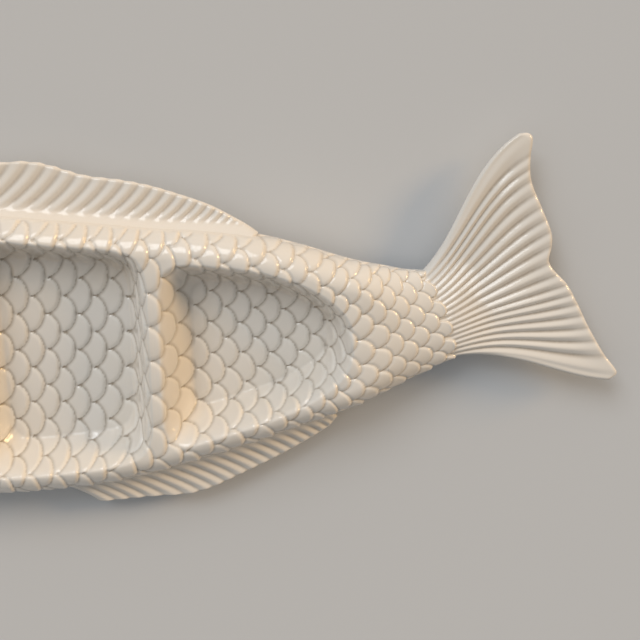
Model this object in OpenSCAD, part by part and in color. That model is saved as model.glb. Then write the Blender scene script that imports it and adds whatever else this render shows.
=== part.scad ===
// Fish shaped serving platter with three compartments, in glazed white earthenware.
// The fish lies on its side along X, snout at -X, tail at +X, back towards +Y.
// Z = 0 is the table, and the origin lies below the centre of the overall length and width.

/* [Overall] */
// Length from the snout to the lower tip of the tail
platter_l = 630; // [600:5:660]
// Width from the upper tip of the tail to the lowest belly fin
platter_w = 234; // [224:1:246]
// Height of the rim above the table
rim_h = 38; // [35:0.5:42]
// Thickness of the fired clay
wall_t = 6; // [5:0.25:7]
// Hairline left between two pieces with curved joints
seam = 0.2; // [0.1:0.05:0.3]

/* [Outer edge] */
// Underside of the upright outer edge above the table
edge_low = 12; // [10.5:0.5:13]
// Top of the upright outer edge, where the shoulder starts
edge_high = 20; // [19:0.5:22]
// Run of the rounded shoulder from the edge up to the rim
shoulder_run = 16; // [13:0.5:18]

/* [Compartments] */
// Run of the sloping wall between the rim and the floor
slope_run = 17; // [14:0.5:19]
// Width of the ridge between two compartments
ridge_w = 5; // [4:0.5:8]
// Rim between the back and the front and middle compartments
back_rim_w = 11.5; // [10:0.5:16]
// Rim between the back and the rear compartment
rear_rim_w = 17; // [14:0.5:20]
// Rim between the belly and each compartment
belly_rim_w = 14; // [11:0.5:18]
// Rim between the gill cover and the front compartment
gill_rim_w = 16; // [12:0.5:22]
// Rim between the rear compartment and the tail stock
stock_rim_w = 17.5; // [14:0.5:21]

/* [Foot rings] */
// Height of the unglazed foot rings
foot_h = 4; // [3:0.25:5]
// Width of the unglazed foot rings
foot_w = 7; // [5:0.5:9]

/* [Fins] */
// Thickness of the dorsal fin at its root
dorsal_t = 6; // [5:0.25:7]
// Number of ribs on the dorsal fin
dorsal_ribs = 29; // [20:1:34]
// Thickness of the anal and pelvic fins at their roots
belly_fin_t = 5.5; // [4.5:0.25:6.5]
// Number of ribs on the anal fin
anal_ribs = 20; // [12:1:24]
// Number of ribs on the pelvic fin
pelvic_ribs = 7; // [4:1:10]
// Thickness that every fin loses between its root and its edge
fin_taper = 1.5; // [0.5:0.25:2]
// Height of the ribs on the dorsal, anal and pelvic fins
rib_h = 1.4; // [0.6:0.1:2]
// How far the rib ends stand out of a fin's edge
edge_wave = 0.6; // [0:0.1:1]

/* [Tail fin] */
// Number of ribs on the tail fin, half of them on each lobe
tail_ribs = 18; // [12:2:20]
// Height of the tail fin's ribs
tail_rib_h = 1.8; // [0.8:0.1:2.4]
// Upper face of the tail fin above the table
tail_top = 21; // [19:0.5:23]
// Thickness of the tail fin at its trailing edge
tail_t = 4.5; // [4:0.25:6]
// Step from the tail stock down to the root of the tail fin
tail_step = 1.5; // [0.5:0.25:2.5]

/* [Head] */
// How far the gill cover stands above the body
gill_step = 1.6; // [0.5:0.1:2.5]
// Width of the gill cover's raised band
gill_band_w = 26; // [18:1:36]
// Depth of the closed mouth's crease
mouth_depth = 2; // [1:0.25:3]
// Length of the closed mouth
mouth_l = 34; // [24:1:44]
// Diameter of the eye
eye_d = 17; // [12:0.5:20]
// Rise of the eye's dome above its rim
eye_rise = 3; // [1.5:0.25:4]
// Depth of the socket that the eye is luted into
socket_depth = 3; // [2:0.25:4]

/* [Hidden] */
$fn = 48;

glaze = "ivory";
bare_clay = "tan";

// Stations from the snout to the root of the tail: place along the length, centre line and
// half width as shares of the width, lean of the section in degrees, height of the rim as a
// share of rim_h, and how far the section bows towards the tail as a share of the length.
station_shares = [
    [-0.4975, -0.077, 0.020, 0, 0.66, 0],
    [-0.480, -0.077, 0.080, 0, 0.76, 0],
    [-0.444, -0.077, 0.150, 0, 0.88, 0.004],
    [-0.397, -0.077, 0.214, 0, 0.96, 0.010],
    [-0.349, -0.075, 0.267, 0, 1, 0.017],
    [-0.303, -0.073, 0.310, 0, 1, 0.019],
    [-0.254, -0.073, 0.346, 0, 1, 0.010],
    [-0.190, -0.073, 0.370, 0, 1, 0.002],
    [-0.127, -0.075, 0.378, 0, 1, 0],
    [-0.083, -0.074, 0.373, 0, 1, 0],
    [-0.038, -0.073, 0.362, 0, 1, 0],
    [0.008, -0.069, 0.349, 0, 1, 0],
    [0.054, -0.059, 0.328, 0, 1, 0],
    [0.102, -0.042, 0.304, 0, 1, 0],
    [0.151, -0.027, 0.274, 0, 1, 0],
    [0.194, -0.019, 0.238, 0, 1, 0],
    [0.238, -0.014, 0.198, 0.5, 0.99, 0],
    [0.262, -0.003, 0.175, 4, 0.95, 0.001],
    [0.286, 0.013, 0.152, 10, 0.86, 0.003],
    [0.305, 0.024, 0.135, 15, 0.78, 0.005],
    [0.3246, 0.0375, 0.122, 20, 0.71, 0.0065]
];
snout_share = -0.4975;
gill_share = -0.303;
front_ridge_share = -0.126;
rear_ridge_share = 0.058;
stock_share = 0.272;
root_share = 0.3246;

// How square the two ends of a compartment are, as the power of its rounded outline
square_end = 8;
gill_end = 2.8;
round_end = 3;

// Rays from the middle of a block's end or flank to its corner: place along the block's
// outline and along the lip
ray_shares = [[0, 0], [0.36, 0.42], [0.66, 0.72], [0.85, 0.88], [0.96, 0.96], [1, 1]];
// Spacing of the rows over the crown of the shoulder, of the loops from there to the lip, and
// of the loops from the lip to the floor
crown_shares = [0, 0.1, 0.3, 0.6, 1];
rim_shares = [0.3, 0.65, 1];
slope_shares = [0.13, 0.28, 0.43, 0.57, 0.72, 0.87, 1];
// Part of the narrowest rim that the crown of the shoulder takes in
crown_share = 0.88;
// Part of the wall's thickness by which the underside follows the slope from outside
backing_share = 0.7;

// Outline of the dorsal fin: place of a ray's foot, its height as a share of the width,
// and the angle at which it leans towards the tail
dorsal_shares = [
    [-0.238, 0.030, 40],
    [-0.222, 0.064, 40],
    [-0.198, 0.096, 40],
    [-0.168, 0.115, 41],
    [-0.130, 0.122, 42],
    [-0.113, 0.125, 42],
    [-0.094, 0.122, 42],
    [-0.049, 0.103, 42],
    [-0.011, 0.098, 42],
    [0.030, 0.086, 42],
    [0.076, 0.063, 42],
    [0.128, 0.025, 42],
    [0.152, 0.006, 42]
];
// How much closer the dorsal fin's ribs stand towards the tail
dorsal_crowding = 1.5;
anal_shares = [
    [-0.051, 0.056, 27],
    [0, 0.058, 27],
    [0.035, 0.067, 26],
    [0.092, 0.056, 26],
    [0.152, 0.041, 26],
    [0.203, 0.027, 29],
    [0.221, 0.018, 38]
];
anal_crowding = 1.15;
pelvic_shares = [
    [-0.262, 0.020, 38],
    [-0.246, 0.048, 34],
    [-0.222, 0.050, 30],
    [-0.204, 0.036, 28]
];
pelvic_crowding = 1;
fin_row_shares = [0, 0.1, 0.3, 0.65, 1];
// Height of a rib along its ray, from the root to the edge of the fin
fin_rib_shares = [0, 0.35, 1, 1, 0.6];

// Trailing edge of the tail fin from its upper to its lower tip: place across the fan,
// then the point as shares of the length and the width
trailing_shares = [
    [0, 0.3968, 0.5],
    [0.056, 0.4040, 0.465],
    [0.167, 0.4057, 0.383],
    [0.278, 0.4159, 0.317],
    [0.389, 0.4262, 0.252],
    [0.5, 0.4275, 0.175],
    [0.611, 0.4413, 0.105],
    [0.722, 0.4540, 0.054],
    [0.833, 0.4675, -0.009],
    [0.944, 0.4897, -0.081],
    [1, 0.5, -0.122]
];
// Bend of the rays off the straight line at the upper edge, the middle and the lower edge
bend_shares = [
    [0, -0.0065, 0.053],
    [0.5, 0.003, 0.004],
    [1, -0.008, 0.022]
];
tail_row_shares = [0, 0.05, 0.12, 0.22, 0.34, 0.47, 0.6, 0.73, 0.87, 1];
tail_rib_shares = [0.45, 0.6, 0.8, 1, 1, 1, 1, 0.95, 0.8, 0.5];
// Part of the ray in which the domed root flattens into the sheet
tail_blend_share = 0.35;

head_row_shares = [
    0, 0.012, 0.035, 0.07, 0.12, 0.18, 0.245, 0.31, 0.38, 0.45, 0.52, 0.59,
    0.66, 0.72, 0.77, 0.815, 0.85, 0.88, 0.91, 0.94, 0.97, 1
];
head_side_shares = [
    -1, -0.93, -0.85, -0.74, -0.6, -0.46, -0.34, -0.25, -0.16,
    0, 0.18, 0.36, 0.54, 0.7, 0.83, 0.92, 1
];
mouth_side_share = -0.25;
eye_side_share = 0.34;
eye_share = -0.417;

stock_row_shares = [0, 0.2, 0.4, 0.6, 0.8, 1];

ray_n = len(ray_shares) - 1;
loop_n = 8 * ray_n;
crown_n = len(crown_shares) - 1;
crown_run = crown_share * min(shoulder_run, back_rim_w, rear_rim_w, belly_rim_w);
backing = min(wall_t * backing_share, ridge_w / 2);
floor_z = foot_h + wall_t;
eye_x = eye_share * platter_l;
snout_x = snout_share * platter_l;
gill_x = gill_share * platter_l;
front_ridge_x = front_ridge_share * platter_l;
rear_ridge_x = rear_ridge_share * platter_l;
stock_x = stock_share * platter_l;
root_x = root_share * platter_l;

// Compartments: the block's two ends, the lip's two ends, the rims towards the back and the
// belly, and how square the lip is at the head end and at the tail end
front_cell = [
    gill_x, front_ridge_x, gill_x + gill_rim_w, front_ridge_x - ridge_w / 2,
    back_rim_w, belly_rim_w, gill_end, square_end
];
middle_cell = [
    front_ridge_x, rear_ridge_x, front_ridge_x + ridge_w / 2, rear_ridge_x - ridge_w / 2,
    back_rim_w, belly_rim_w, square_end, square_end
];
rear_cell = [
    rear_ridge_x, stock_x, rear_ridge_x + ridge_w / 2, stock_x - stock_rim_w,
    rear_rim_w, belly_rim_w, square_end, round_end
];

stations = [
    for (row = station_shares)
        [
            row[0] * platter_l, row[1] * platter_w, row[2] * platter_w,
            row[3], row[4] * rim_h, row[5] * platter_l
        ]
];

function clamp(t) = max(0, min(1, t));
function mix(a, b, t) = a + (b - a) * t;
function ease(t) = let (c = clamp(t)) c * c * (3 - 2 * c);
// Height share of a quarter round at a share of its run
function arc_rise(t) = sqrt(1 - pow(1 - clamp(t), 2));

// Smooth curve through the rows of a table, whose first column is the place
function row_before(table, x) =
    max([0, for (i = [1:len(table) - 2]) if (x >= table[i][0]) i]);
function row_slope(table, i, column) =
    let (
        a = max(i - 1, 0),
        b = min(i + 1, len(table) - 1)
    )
    (table[b][column] - table[a][column]) / (table[b][0] - table[a][0]);
function curve(table, x, column) =
    let (
        i = row_before(table, x),
        gap = table[i + 1][0] - table[i][0],
        t = clamp((x - table[i][0]) / gap),
        bump = t * (1 - t) * gap
    )
    mix(table[i][column], table[i + 1][column], ease(t))
        + bump * ((1 - t) * row_slope(table, i, column) - t * row_slope(table, i + 1, column));

function half_width(x) = curve(stations, x, 2);
function crest(x) = curve(stations, x, 4);

// Point of the plan at a place along the fish and a side from -1, belly, to 1, back
function plan(x, side) =
    let (
        lean = curve(stations, x, 3),
        half = half_width(x),
        bow = curve(stations, x, 5) * (1 - side * side)
    )
    [
        x - side * half * sin(lean) + bow,
        curve(stations, x, 1) + side * half * cos(lean)
    ];

// Run of the shoulder, which takes in the whole section at the snout and the tail
function shoulder(x) =
    let (
        half = half_width(x),
        to_tail = (x - stock_x + stock_rim_w) / (root_x - stock_x + stock_rim_w),
        to_snout = (gill_x - x) / (gill_x - snout_x)
    )
    min(half, mix(shoulder_run, half, ease(max(to_tail, to_snout))));

// Upper and lower face of the shell without its compartments
function outer_z(x, side) =
    let (inward = half_width(x) * (1 - abs(side)))
    mix(edge_high, crest(x), arc_rise(inward / shoulder(x)));
function inner_z(x, side) =
    let (
        inward = half_width(x) * (1 - abs(side)) - wall_t,
        run = max(shoulder(x) - wall_t, wall_t)
    )
    mix(edge_low, crest(x) - wall_t, arc_rise(inward / run));

// Stretch of a block's outline that a ray starts from, 0 for the tail end, 1 for the back,
// 2 for the head end and 3 for the belly, and the ray's count from the middle of it
function ray(i) =
    let (from_corner = (i + ray_n) % loop_n)
    [floor(from_corner / (2 * ray_n)), from_corner % (2 * ray_n) - ray_n];
function on_flank(i) = ray(i)[0] % 2 == 1 || ray(i)[1] == -ray_n;

// Point of a compartment's rounded outline on a ray, drawn in by inset, as place and side
function lip(cell, inset, i) =
    let (
        turn = ray(i)[0],
        step = ray(i)[1],
        at_head = turn == 2 || (turn == 1 && step > 0) || (turn == 3 && step < 0),
        power = at_head ? cell[6] : cell[7],
        along = sign(step) * ray_shares[abs(step)][1] * pow(2, -1 / power),
        out = pow(1 - pow(abs(along), power), 1 / power),
        spot = [[out, along], [-along, out], [-out, -along], [along, -out]][turn],
        x = (cell[2] + cell[3]) / 2 + spot[0] * ((cell[3] - cell[2]) / 2 - inset),
        half = half_width(x),
        to_back = half - cell[4] - inset,
        to_belly = half - cell[5] - inset
    )
    [x, ((to_back - to_belly) / 2 + spot[1] * (to_back + to_belly) / 2) / half];

// Point on a ray at an inward distance from the block's flank, or at the block's end
function crown(cell, inward, i) =
    let (
        turn = ray(i)[0],
        share = sign(ray(i)[1]) * ray_shares[abs(ray(i)[1])][0],
        run = share * (cell[1] - cell[0]) / 2,
        middle = (cell[0] + cell[1]) / 2,
        x = [cell[1], middle - run, cell[0], middle + run][turn],
        side = [share, 1, -share, -1][turn]
    )
    [x, side * (1 - (on_flank(i) ? inward : crown_run) / half_width(x))];

function on_top(place, depth) =
    [
        each plan(place[0], place[1]),
        mix(outer_z(place[0], place[1]), floor_z, ease(depth))
    ];
function on_underside(place, depth) =
    [
        each plan(place[0], place[1]),
        mix(inner_z(place[0], place[1]), foot_h, ease(depth + backing / slope_run))
    ];

// Loops of a compartment block from its border over the lip and down to its floor, each a
// list of [place, depth], where depth runs from 0 at the lip to 1 at the floor
function rim_loop(cell, inward, share) =
    [
        for (i = [0:loop_n - 1])
            let (
                to = lip(cell, 0, i),
                place = mix(crown(cell, inward, i), to, share),
                gap = norm(plan(place[0], place[1]) - plan(to[0], to[1]))
            )
            [place, -gap / slope_run]
    ];
function slope_loop(cell, share) =
    [for (i = [0:loop_n - 1]) [mix(lip(cell, 0, i), lip(cell, slope_run, i), share), share]];
function block_loops(cell) =
    [
        for (share = crown_shares) rim_loop(cell, share * crown_run, 0),
        for (share = rim_shares) rim_loop(cell, crown_run, share),
        for (share = slope_shares) slope_loop(cell, share)
    ];

function two(a, b, c, d) = [[a, b, c], [a, c, d]];

// Closed shell between an upper and a lower stack of loops, each closed by a point. The
// loops over the crown run along the flanks only, and a fan at each corner closes the end.
module bowl_solid(top, under, top_middle, under_middle) {
    n = len(top[0]);
    rings = len(top);
    lower = rings * n;
    top_tip = 2 * lower;
    under_tip = top_tip + 1;
    points = [for (loop = top) each loop, for (loop = under) each loop, top_middle, under_middle];
    faces = [
        for (r = [0:rings - 2], i = [0:n - 1])
            let (
                j = (i + 1) % n,
                a = r * n + i,
                b = r * n + j,
                from_flank = r >= crown_n || on_flank(i),
                to_flank = r >= crown_n || on_flank(j),
                a_end = crown_n * n + i,
                b_end = crown_n * n + j
            )
            each from_flank && to_flank
                ? [
                    each two(a, a + n, b + n, b),
                    each two(lower + a, lower + b, lower + b + n, lower + a + n)
                ]
                : from_flank
                ? [[a, a + n, b_end], [lower + a, lower + b_end, lower + a + n]]
                : to_flank ? [[a_end, b + n, b], [lower + a_end, lower + b, lower + b + n]] : [],
        for (i = [0:n - 1])
            let (
                j = (i + 1) % n,
                last = (rings - 1) * n,
                a = on_flank(i) ? i : crown_n * n + i,
                b = on_flank(j) ? j : crown_n * n + j
            )
            each [
                [last + i, top_tip, last + j],
                [lower + last + i, lower + last + j, under_tip],
                each two(a, b, lower + b, lower + a)
            ]
    ];
    polyhedron(points, faces, convexity = 6);
}

// Closed sheet between an upper and a lower grid of points
module sheet_solid(top, under) {
    rows = len(top);
    n = len(top[0]);
    lower = rows * n;
    points = [for (row = top) each row, for (row = under) each row];
    last = (rows - 1) * n;
    faces = [
        for (r = [0:rows - 2], i = [0:n - 2])
            let (a = r * n + i)
            each [
                each two(a, a + n, a + n + 1, a + 1),
                each two(lower + a, lower + a + 1, lower + a + n + 1, lower + a + n)
            ],
        for (i = [0:n - 2])
            each [
                each two(i, i + 1, lower + i + 1, lower + i),
                each two(last + i + 1, last + i, lower + last + i, lower + last + i + 1)
            ],
        for (r = [0:rows - 2])
            let (
                a = r * n,
                b = a + n - 1
            )
            each [
                each two(a + n, a, lower + a, lower + a + n),
                each two(b, b + n, lower + b + n, lower + b)
            ]
    ];
    polyhedron(points, faces, convexity = 6);
}

module compartment(cell) {
    loops = block_loops(cell);
    middle = [(cell[2] + cell[3]) / 2, (cell[5] - cell[4]) / (2 * half_width((cell[2] + cell[3]) / 2))];
    color(glaze)
        bowl_solid(
            [for (loop = loops) [for (p = loop) on_top(p[0], p[1])]],
            [for (loop = loops) [for (p = loop) on_underside(p[0], p[1])]],
            on_top(middle, 1),
            on_underside(middle, 1)
        );
}

module foot_ring(cell) {
    color(bare_clay)
        linear_extrude(foot_h)
            difference() {
                polygon([for (i = [0:loop_n - 1]) let (p = lip(cell, slope_run, i)) plan(p[0], p[1])]);
                polygon([
                    for (i = [0:loop_n - 1])
                        let (p = lip(cell, slope_run + foot_w, i))
                        plan(p[0], p[1])
                ]);
            }
}

module front_compartment() {
    compartment(front_cell);
}

module middle_compartment() {
    compartment(middle_cell);
}

module rear_compartment() {
    compartment(rear_cell);
}

module front_foot_ring() {
    foot_ring(front_cell);
}

module middle_foot_ring() {
    foot_ring(middle_cell);
}

module rear_foot_ring() {
    foot_ring(rear_cell);
}

// Side of a row of the tail stock, counted from its middle to its edge, where it meets the
// rays and crown rows of the rear compartment
stock_n = ray_n + crown_n;
function stock_side(x, i) =
    i < ray_n
        ? ray_shares[i][0] * (1 - crown_run / half_width(x))
        : 1 - crown_shares[stock_n - i] * crown_run / half_width(x);

module tail_stock() {
    xs = [for (share = stock_row_shares) mix(stock_x, root_x, share)];
    rows = [
        for (i = [-stock_n:stock_n])
            [for (x = xs) [x, sign(i) * stock_side(x, abs(i))]]
    ];
    color(glaze)
        sheet_solid(
            [for (row = rows) [for (p = row) [each plan(p[0], p[1]), outer_z(p[0], p[1])]]],
            [for (row = rows) [for (p = row) [each plan(p[0], p[1]), inner_z(p[0], p[1])]]]
        );
}

// Rise of the head's relief: the raised gill band and the crease of the mouth
function head_relief(x, side) =
    let (
        band = ease((x - gill_x + gill_band_w) / (gill_band_w / 4)),
        mouth = side == mouth_side_share && x < snout_x + mouth_l ? 1 : 0
    )
    gill_step * band - mouth_depth * mouth;

module head() {
    xs = [for (share = head_row_shares) mix(snout_x, gill_x, share)];
    color(glaze)
        difference() {
            translate([-seam, 0, 0])
                sheet_solid(
                    [
                        for (side = head_side_shares)
                            [
                                for (x = xs)
                                    [each plan(x, side), outer_z(x, side) + head_relief(x, side)]
                            ]
                    ],
                    [
                        for (side = head_side_shares)
                            [for (x = xs) [each plan(x, side), inner_z(x, side)]]
                    ]
                );
            at_eye()
                cylinder(d = eye_d + 2 * seam, h = rim_h);
        }
}

// Seat of the eye, at the bottom of its socket
module at_eye() {
    translate([
        each plan(eye_x, eye_side_share) - [seam, 0],
        outer_z(eye_x, eye_side_share) - socket_depth
    ])
        children();
}

module eye() {
    dome_r = (pow(eye_d / 2, 2) + pow(eye_rise, 2)) / (2 * eye_rise);
    half_angle = asin(eye_d / 2 / dome_r);
    dome_steps = 5;
    color(glaze)
        at_eye()
            rotate_extrude()
                polygon([
                    [0, 0],
                    [eye_d / 2, 0],
                    for (i = [dome_steps:-1:0])
                        let (angle = half_angle * i / dome_steps)
                        [
                            dome_r * sin(angle),
                            socket_depth + eye_rise - dome_r * (1 - cos(angle))
                        ]
                ]);
}

// Ribbed fin on the outline at side 1, back, or -1, belly. Every second column is a rib.
module fin(table, ribs, crowding, side, top, under) {
    first = table[0][0] * platter_l;
    last = table[len(table) - 1][0] * platter_l;
    columns = [for (i = [0:2 * ribs]) i];
    feet = [for (i = columns) mix(last, first, pow(1 - i / (2 * ribs), crowding))];
    rays = [
        for (i = columns)
            let (
                share = feet[i] / platter_l,
                wave = i % 2 == 1 ? edge_wave : 0,
                rise = curve(table, share, 1) * platter_w + wave
            )
            [rise / tan(curve(table, share, 2)), side * rise]
    ];
    roots = [for (x = feet) plan(x, side) + [0, side * seam]];
    sheet_top = [
        for (j = [0:len(fin_row_shares) - 1])
            [
                for (i = columns)
                    [
                        each roots[i] + rays[i] * fin_row_shares[j],
                        top - fin_taper * fin_row_shares[j]
                            - (i % 2 == 1 ? 0 : rib_h * fin_rib_shares[j])
                    ]
            ]
    ];
    sheet_under = [
        for (j = [0:len(fin_row_shares) - 1])
            [for (i = columns) [each roots[i] + rays[i] * fin_row_shares[j], under]]
    ];
    color(glaze)
        if (side > 0)
            sheet_solid(sheet_top, sheet_under);
        else
            sheet_solid(sheet_under, sheet_top);
}

module dorsal_fin() {
    fin(dorsal_shares, dorsal_ribs, dorsal_crowding, 1, edge_high, edge_high - dorsal_t);
}

module anal_fin() {
    fin(anal_shares, anal_ribs, anal_crowding, -1, edge_low + belly_fin_t, edge_low);
}

module pelvic_fin() {
    fin(pelvic_shares, pelvic_ribs, pelvic_crowding, -1, edge_low + belly_fin_t, edge_low);
}

// Point of the tail fin at a share across the fan and a share along the ray
function fan(across, along) =
    let (
        root = plan(root_x, 1 - 2 * across) + [seam, 0],
        tip = [
            curve(trailing_shares, across, 1) * platter_l,
            curve(trailing_shares, across, 2) * platter_w
        ],
        bend = [
            curve(bend_shares, across, 1) * platter_l,
            curve(bend_shares, across, 2) * platter_w
        ]
    )
    mix(root, tip, along) + 2 * along * (1 - along) * bend;

module tail_fin() {
    columns = [for (i = [0:2 * tail_ribs]) i / (2 * tail_ribs)];
    rows = [for (j = [0:len(tail_row_shares) - 1]) j];
    color(glaze)
        sheet_solid(
            [
                for (j = rows)
                    [
                        for (i = [0:2 * tail_ribs])
                            let (
                                along = tail_row_shares[j],
                                flat = ease(along / tail_blend_share),
                                root_z = outer_z(root_x, 1 - 2 * columns[i]) - tail_step,
                                groove = i % 2 == 1 ? 0 : tail_rib_h * tail_rib_shares[j]
                            )
                            [each fan(columns[i], along), mix(root_z, tail_top, flat) - groove]
                    ]
            ],
            [
                for (j = rows)
                    [
                        for (across = columns)
                            let (
                                along = tail_row_shares[j],
                                flat = ease(along / tail_blend_share),
                                root_z = inner_z(root_x, 1 - 2 * across)
                            )
                            [each fan(across, along), mix(root_z, tail_top - tail_t, flat)]
                    ]
            ]
        );
}

head();
eye();
front_compartment();
middle_compartment();
rear_compartment();
tail_stock();
tail_fin();
dorsal_fin();
anal_fin();
pelvic_fin();
front_foot_ring();
middle_foot_ring();
rear_foot_ring();
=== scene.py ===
import math
from collections import namedtuple

import bpy
import numpy as np
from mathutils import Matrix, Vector


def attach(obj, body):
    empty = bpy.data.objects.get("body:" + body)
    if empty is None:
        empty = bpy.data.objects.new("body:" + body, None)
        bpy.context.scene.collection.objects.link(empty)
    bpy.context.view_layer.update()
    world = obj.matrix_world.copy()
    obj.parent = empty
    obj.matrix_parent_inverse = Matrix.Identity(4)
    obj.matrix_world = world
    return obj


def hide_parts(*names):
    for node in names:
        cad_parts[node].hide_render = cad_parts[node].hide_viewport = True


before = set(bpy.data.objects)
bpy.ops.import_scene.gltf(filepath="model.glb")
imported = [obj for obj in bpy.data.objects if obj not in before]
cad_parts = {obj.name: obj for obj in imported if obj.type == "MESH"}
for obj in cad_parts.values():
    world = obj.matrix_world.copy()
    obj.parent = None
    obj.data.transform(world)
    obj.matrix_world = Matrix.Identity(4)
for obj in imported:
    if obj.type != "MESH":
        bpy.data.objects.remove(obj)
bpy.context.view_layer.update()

# A fish shaped serving platter in glazed white earthenware, lying on its side along X with
# the snout at -X, the tail at +X and the back towards +Y. Sizes are in millimetres, and the
# finished meshes in metres.
MM = 0.001

# Body
PLATTER_LENGTH = 630
PLATTER_WIDTH = 234
RIM_HEIGHT = 38
WALL = 6
SEAM = 0.2
EDGE_LOW = 12
EDGE_HIGH = 20
SHOULDER_RUN = 16
FOOT_HEIGHT = 4
EDGE_ROUNDING = 1.5
NOSE_ROUNDING = 6
NOSE_HEIGHT = 18

# Compartments
SLOPE_RUN = 17
RIDGE_WIDTH = 5
BACK_RIM = 11.5
REAR_BACK_RIM = 17
BELLY_RIM = 14
GILL_RIM = 16
STOCK_RIM = 17.5
SQUARE_END = 8
GILL_END = 2.8
ROUND_END = 3
BACKING = 2.5

# Stations from the snout to the root of the tail fin: place along the length, centre line and
# half width as shares of the width, lean of the section in degrees, height of the rim as a
# share of the rim height, and bow of the section towards the tail as a share of the length.
STATION_SHARES = np.array([
    [-0.4975, -0.077, 0.020, 0, 0.66, 0],
    [-0.480, -0.077, 0.080, 0, 0.76, 0],
    [-0.444, -0.077, 0.150, 0, 0.88, 0.004],
    [-0.397, -0.077, 0.214, 0, 0.96, 0.010],
    [-0.349, -0.075, 0.267, 0, 1, 0.017],
    [-0.303, -0.073, 0.310, 0, 1, 0.019],
    [-0.254, -0.073, 0.346, 0, 1, 0.010],
    [-0.190, -0.073, 0.370, 0, 1, 0.002],
    [-0.127, -0.075, 0.378, 0, 1, 0],
    [-0.083, -0.074, 0.373, 0, 1, 0],
    [-0.038, -0.073, 0.362, 0, 1, 0],
    [0.008, -0.069, 0.349, 0, 1, 0],
    [0.054, -0.059, 0.328, 0, 1, 0],
    [0.102, -0.042, 0.304, 0, 1, 0],
    [0.151, -0.027, 0.274, 0, 1, 0],
    [0.194, -0.019, 0.238, 0, 1, 0],
    [0.238, -0.014, 0.198, 0.5, 0.99, 0],
    [0.262, -0.003, 0.175, 4, 0.95, 0.001],
    [0.286, 0.013, 0.152, 10, 0.86, 0.003],
    [0.305, 0.024, 0.135, 15, 0.78, 0.005],
    [0.3246, 0.0375, 0.122, 20, 0.71, 0.0065],
])
STATIONS = STATION_SHARES * [
    PLATTER_LENGTH, PLATTER_WIDTH, PLATTER_WIDTH, 1, RIM_HEIGHT, PLATTER_LENGTH
]
CENTRE, HALF_WIDTH, LEAN, CREST, BOW = range(1, 6)
SNOUT_X = -0.4975 * PLATTER_LENGTH
GILL_X = -0.303 * PLATTER_LENGTH
FRONT_RIDGE_X = -0.126 * PLATTER_LENGTH
REAR_RIDGE_X = 0.058 * PLATTER_LENGTH
STOCK_X = 0.272 * PLATTER_LENGTH
ROOT_X = 0.3246 * PLATTER_LENGTH
FLOOR_Z = FOOT_HEIGHT + WALL

# Each compartment: its block's two ends, its lip's two ends, the rims towards the back and
# the belly, and how square the lip is at the head end and at the tail end
Cell = namedtuple("Cell", "start end lip_start lip_end back_rim belly_rim head_square tail_square")
FRONT_CELL = Cell(
    GILL_X, FRONT_RIDGE_X, GILL_X + GILL_RIM, FRONT_RIDGE_X - RIDGE_WIDTH / 2,
    BACK_RIM, BELLY_RIM, GILL_END, SQUARE_END,
)
MIDDLE_CELL = Cell(
    FRONT_RIDGE_X, REAR_RIDGE_X, FRONT_RIDGE_X + RIDGE_WIDTH / 2, REAR_RIDGE_X - RIDGE_WIDTH / 2,
    BACK_RIM, BELLY_RIM, SQUARE_END, SQUARE_END,
)
REAR_CELL = Cell(
    REAR_RIDGE_X, STOCK_X, REAR_RIDGE_X + RIDGE_WIDTH / 2, STOCK_X - STOCK_RIM,
    REAR_BACK_RIM, BELLY_RIM, SQUARE_END, ROUND_END,
)
CELLS = (FRONT_CELL, MIDDLE_CELL, REAR_CELL)

# Scales on the rims: place along the length, number of columns up to there, the line that
# a row of scales follows as a share of the width, width of a scale, and how much a column
# leans
SCALE_SHARES = np.array([
    [-0.303, -17.4, -0.020, 22.8, 0.03],
    [-0.126, -3.8, -0.020, 22.8, 0.05],
    [-0.060, 1.26, -0.020, 22.8, 0.06],
    [0, 5.90, -0.020, 22.8, 0.06],
    [0.058, 10.45, -0.018, 20.7, 0],
    [0.090, 12.8, -0.033, 20.4, -0.02],
    [0.148, 17.0, -0.034, 18.9, -0.05],
    [0.178, 19.2, -0.036, 18.4, -0.06],
    [0.238, 23.9, -0.014, 15.6, -0.03],
    [0.272, 26.7, 0.005, 14.6, 0],
    [0.286, 28.0, 0.013, 14.0, 0],
    [0.3246, 31.53, 0.0375, 12.7, 0],
    [0.334, 32.5, 0.043, 12.4, 0],
])
SCALES = SCALE_SHARES * [PLATTER_LENGTH, 1, PLATTER_WIDTH, 1, 1]
COLUMNS, ROW_LINE, SCALE_WIDTH, COLUMN_LEAN = range(1, 5)
# Columns at the two ends of each compartment's floor
FLOOR_COLUMNS = ((-12.8, -6.8), (-0.60, 7.33), (13.07, 22.1))
# Line across the fish on which columns are counted. From BACK_LINE beyond it, towards the
# back, they lean by BACK_LEAN more.
COLUMN_LINE = 0.033 * PLATTER_WIDTH
BACK_LINE = 0.1 * PLATTER_WIDTH
BACK_LEAN = 0.14
# Part of a slope's steepness that counts when scales are spaced over it. Rows on the back's
# side have their own, and no row counts a slope as steeper than the steepest.
SLOPE_WEIGHT = 0.7
BACK_SLOPE_WEIGHT = 0.5
STEEPEST = 4
# The last scales, which overlap the tail fin
LAST_COLUMN = 31
TIP_OVERHANG = 3.4
SCALE_DROP = 4.5
STOCK_SCALE_RISE = 0.7
# Scales fade out above the lower edge and beside the fins
EDGE_MARGIN = 0.5
EDGE_FADE = 2
FIN_MARGIN = 4
DORSAL_GAP = 0.5
DORSAL_FADE = 1.3
BELLY_GAP = 3.5
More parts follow.
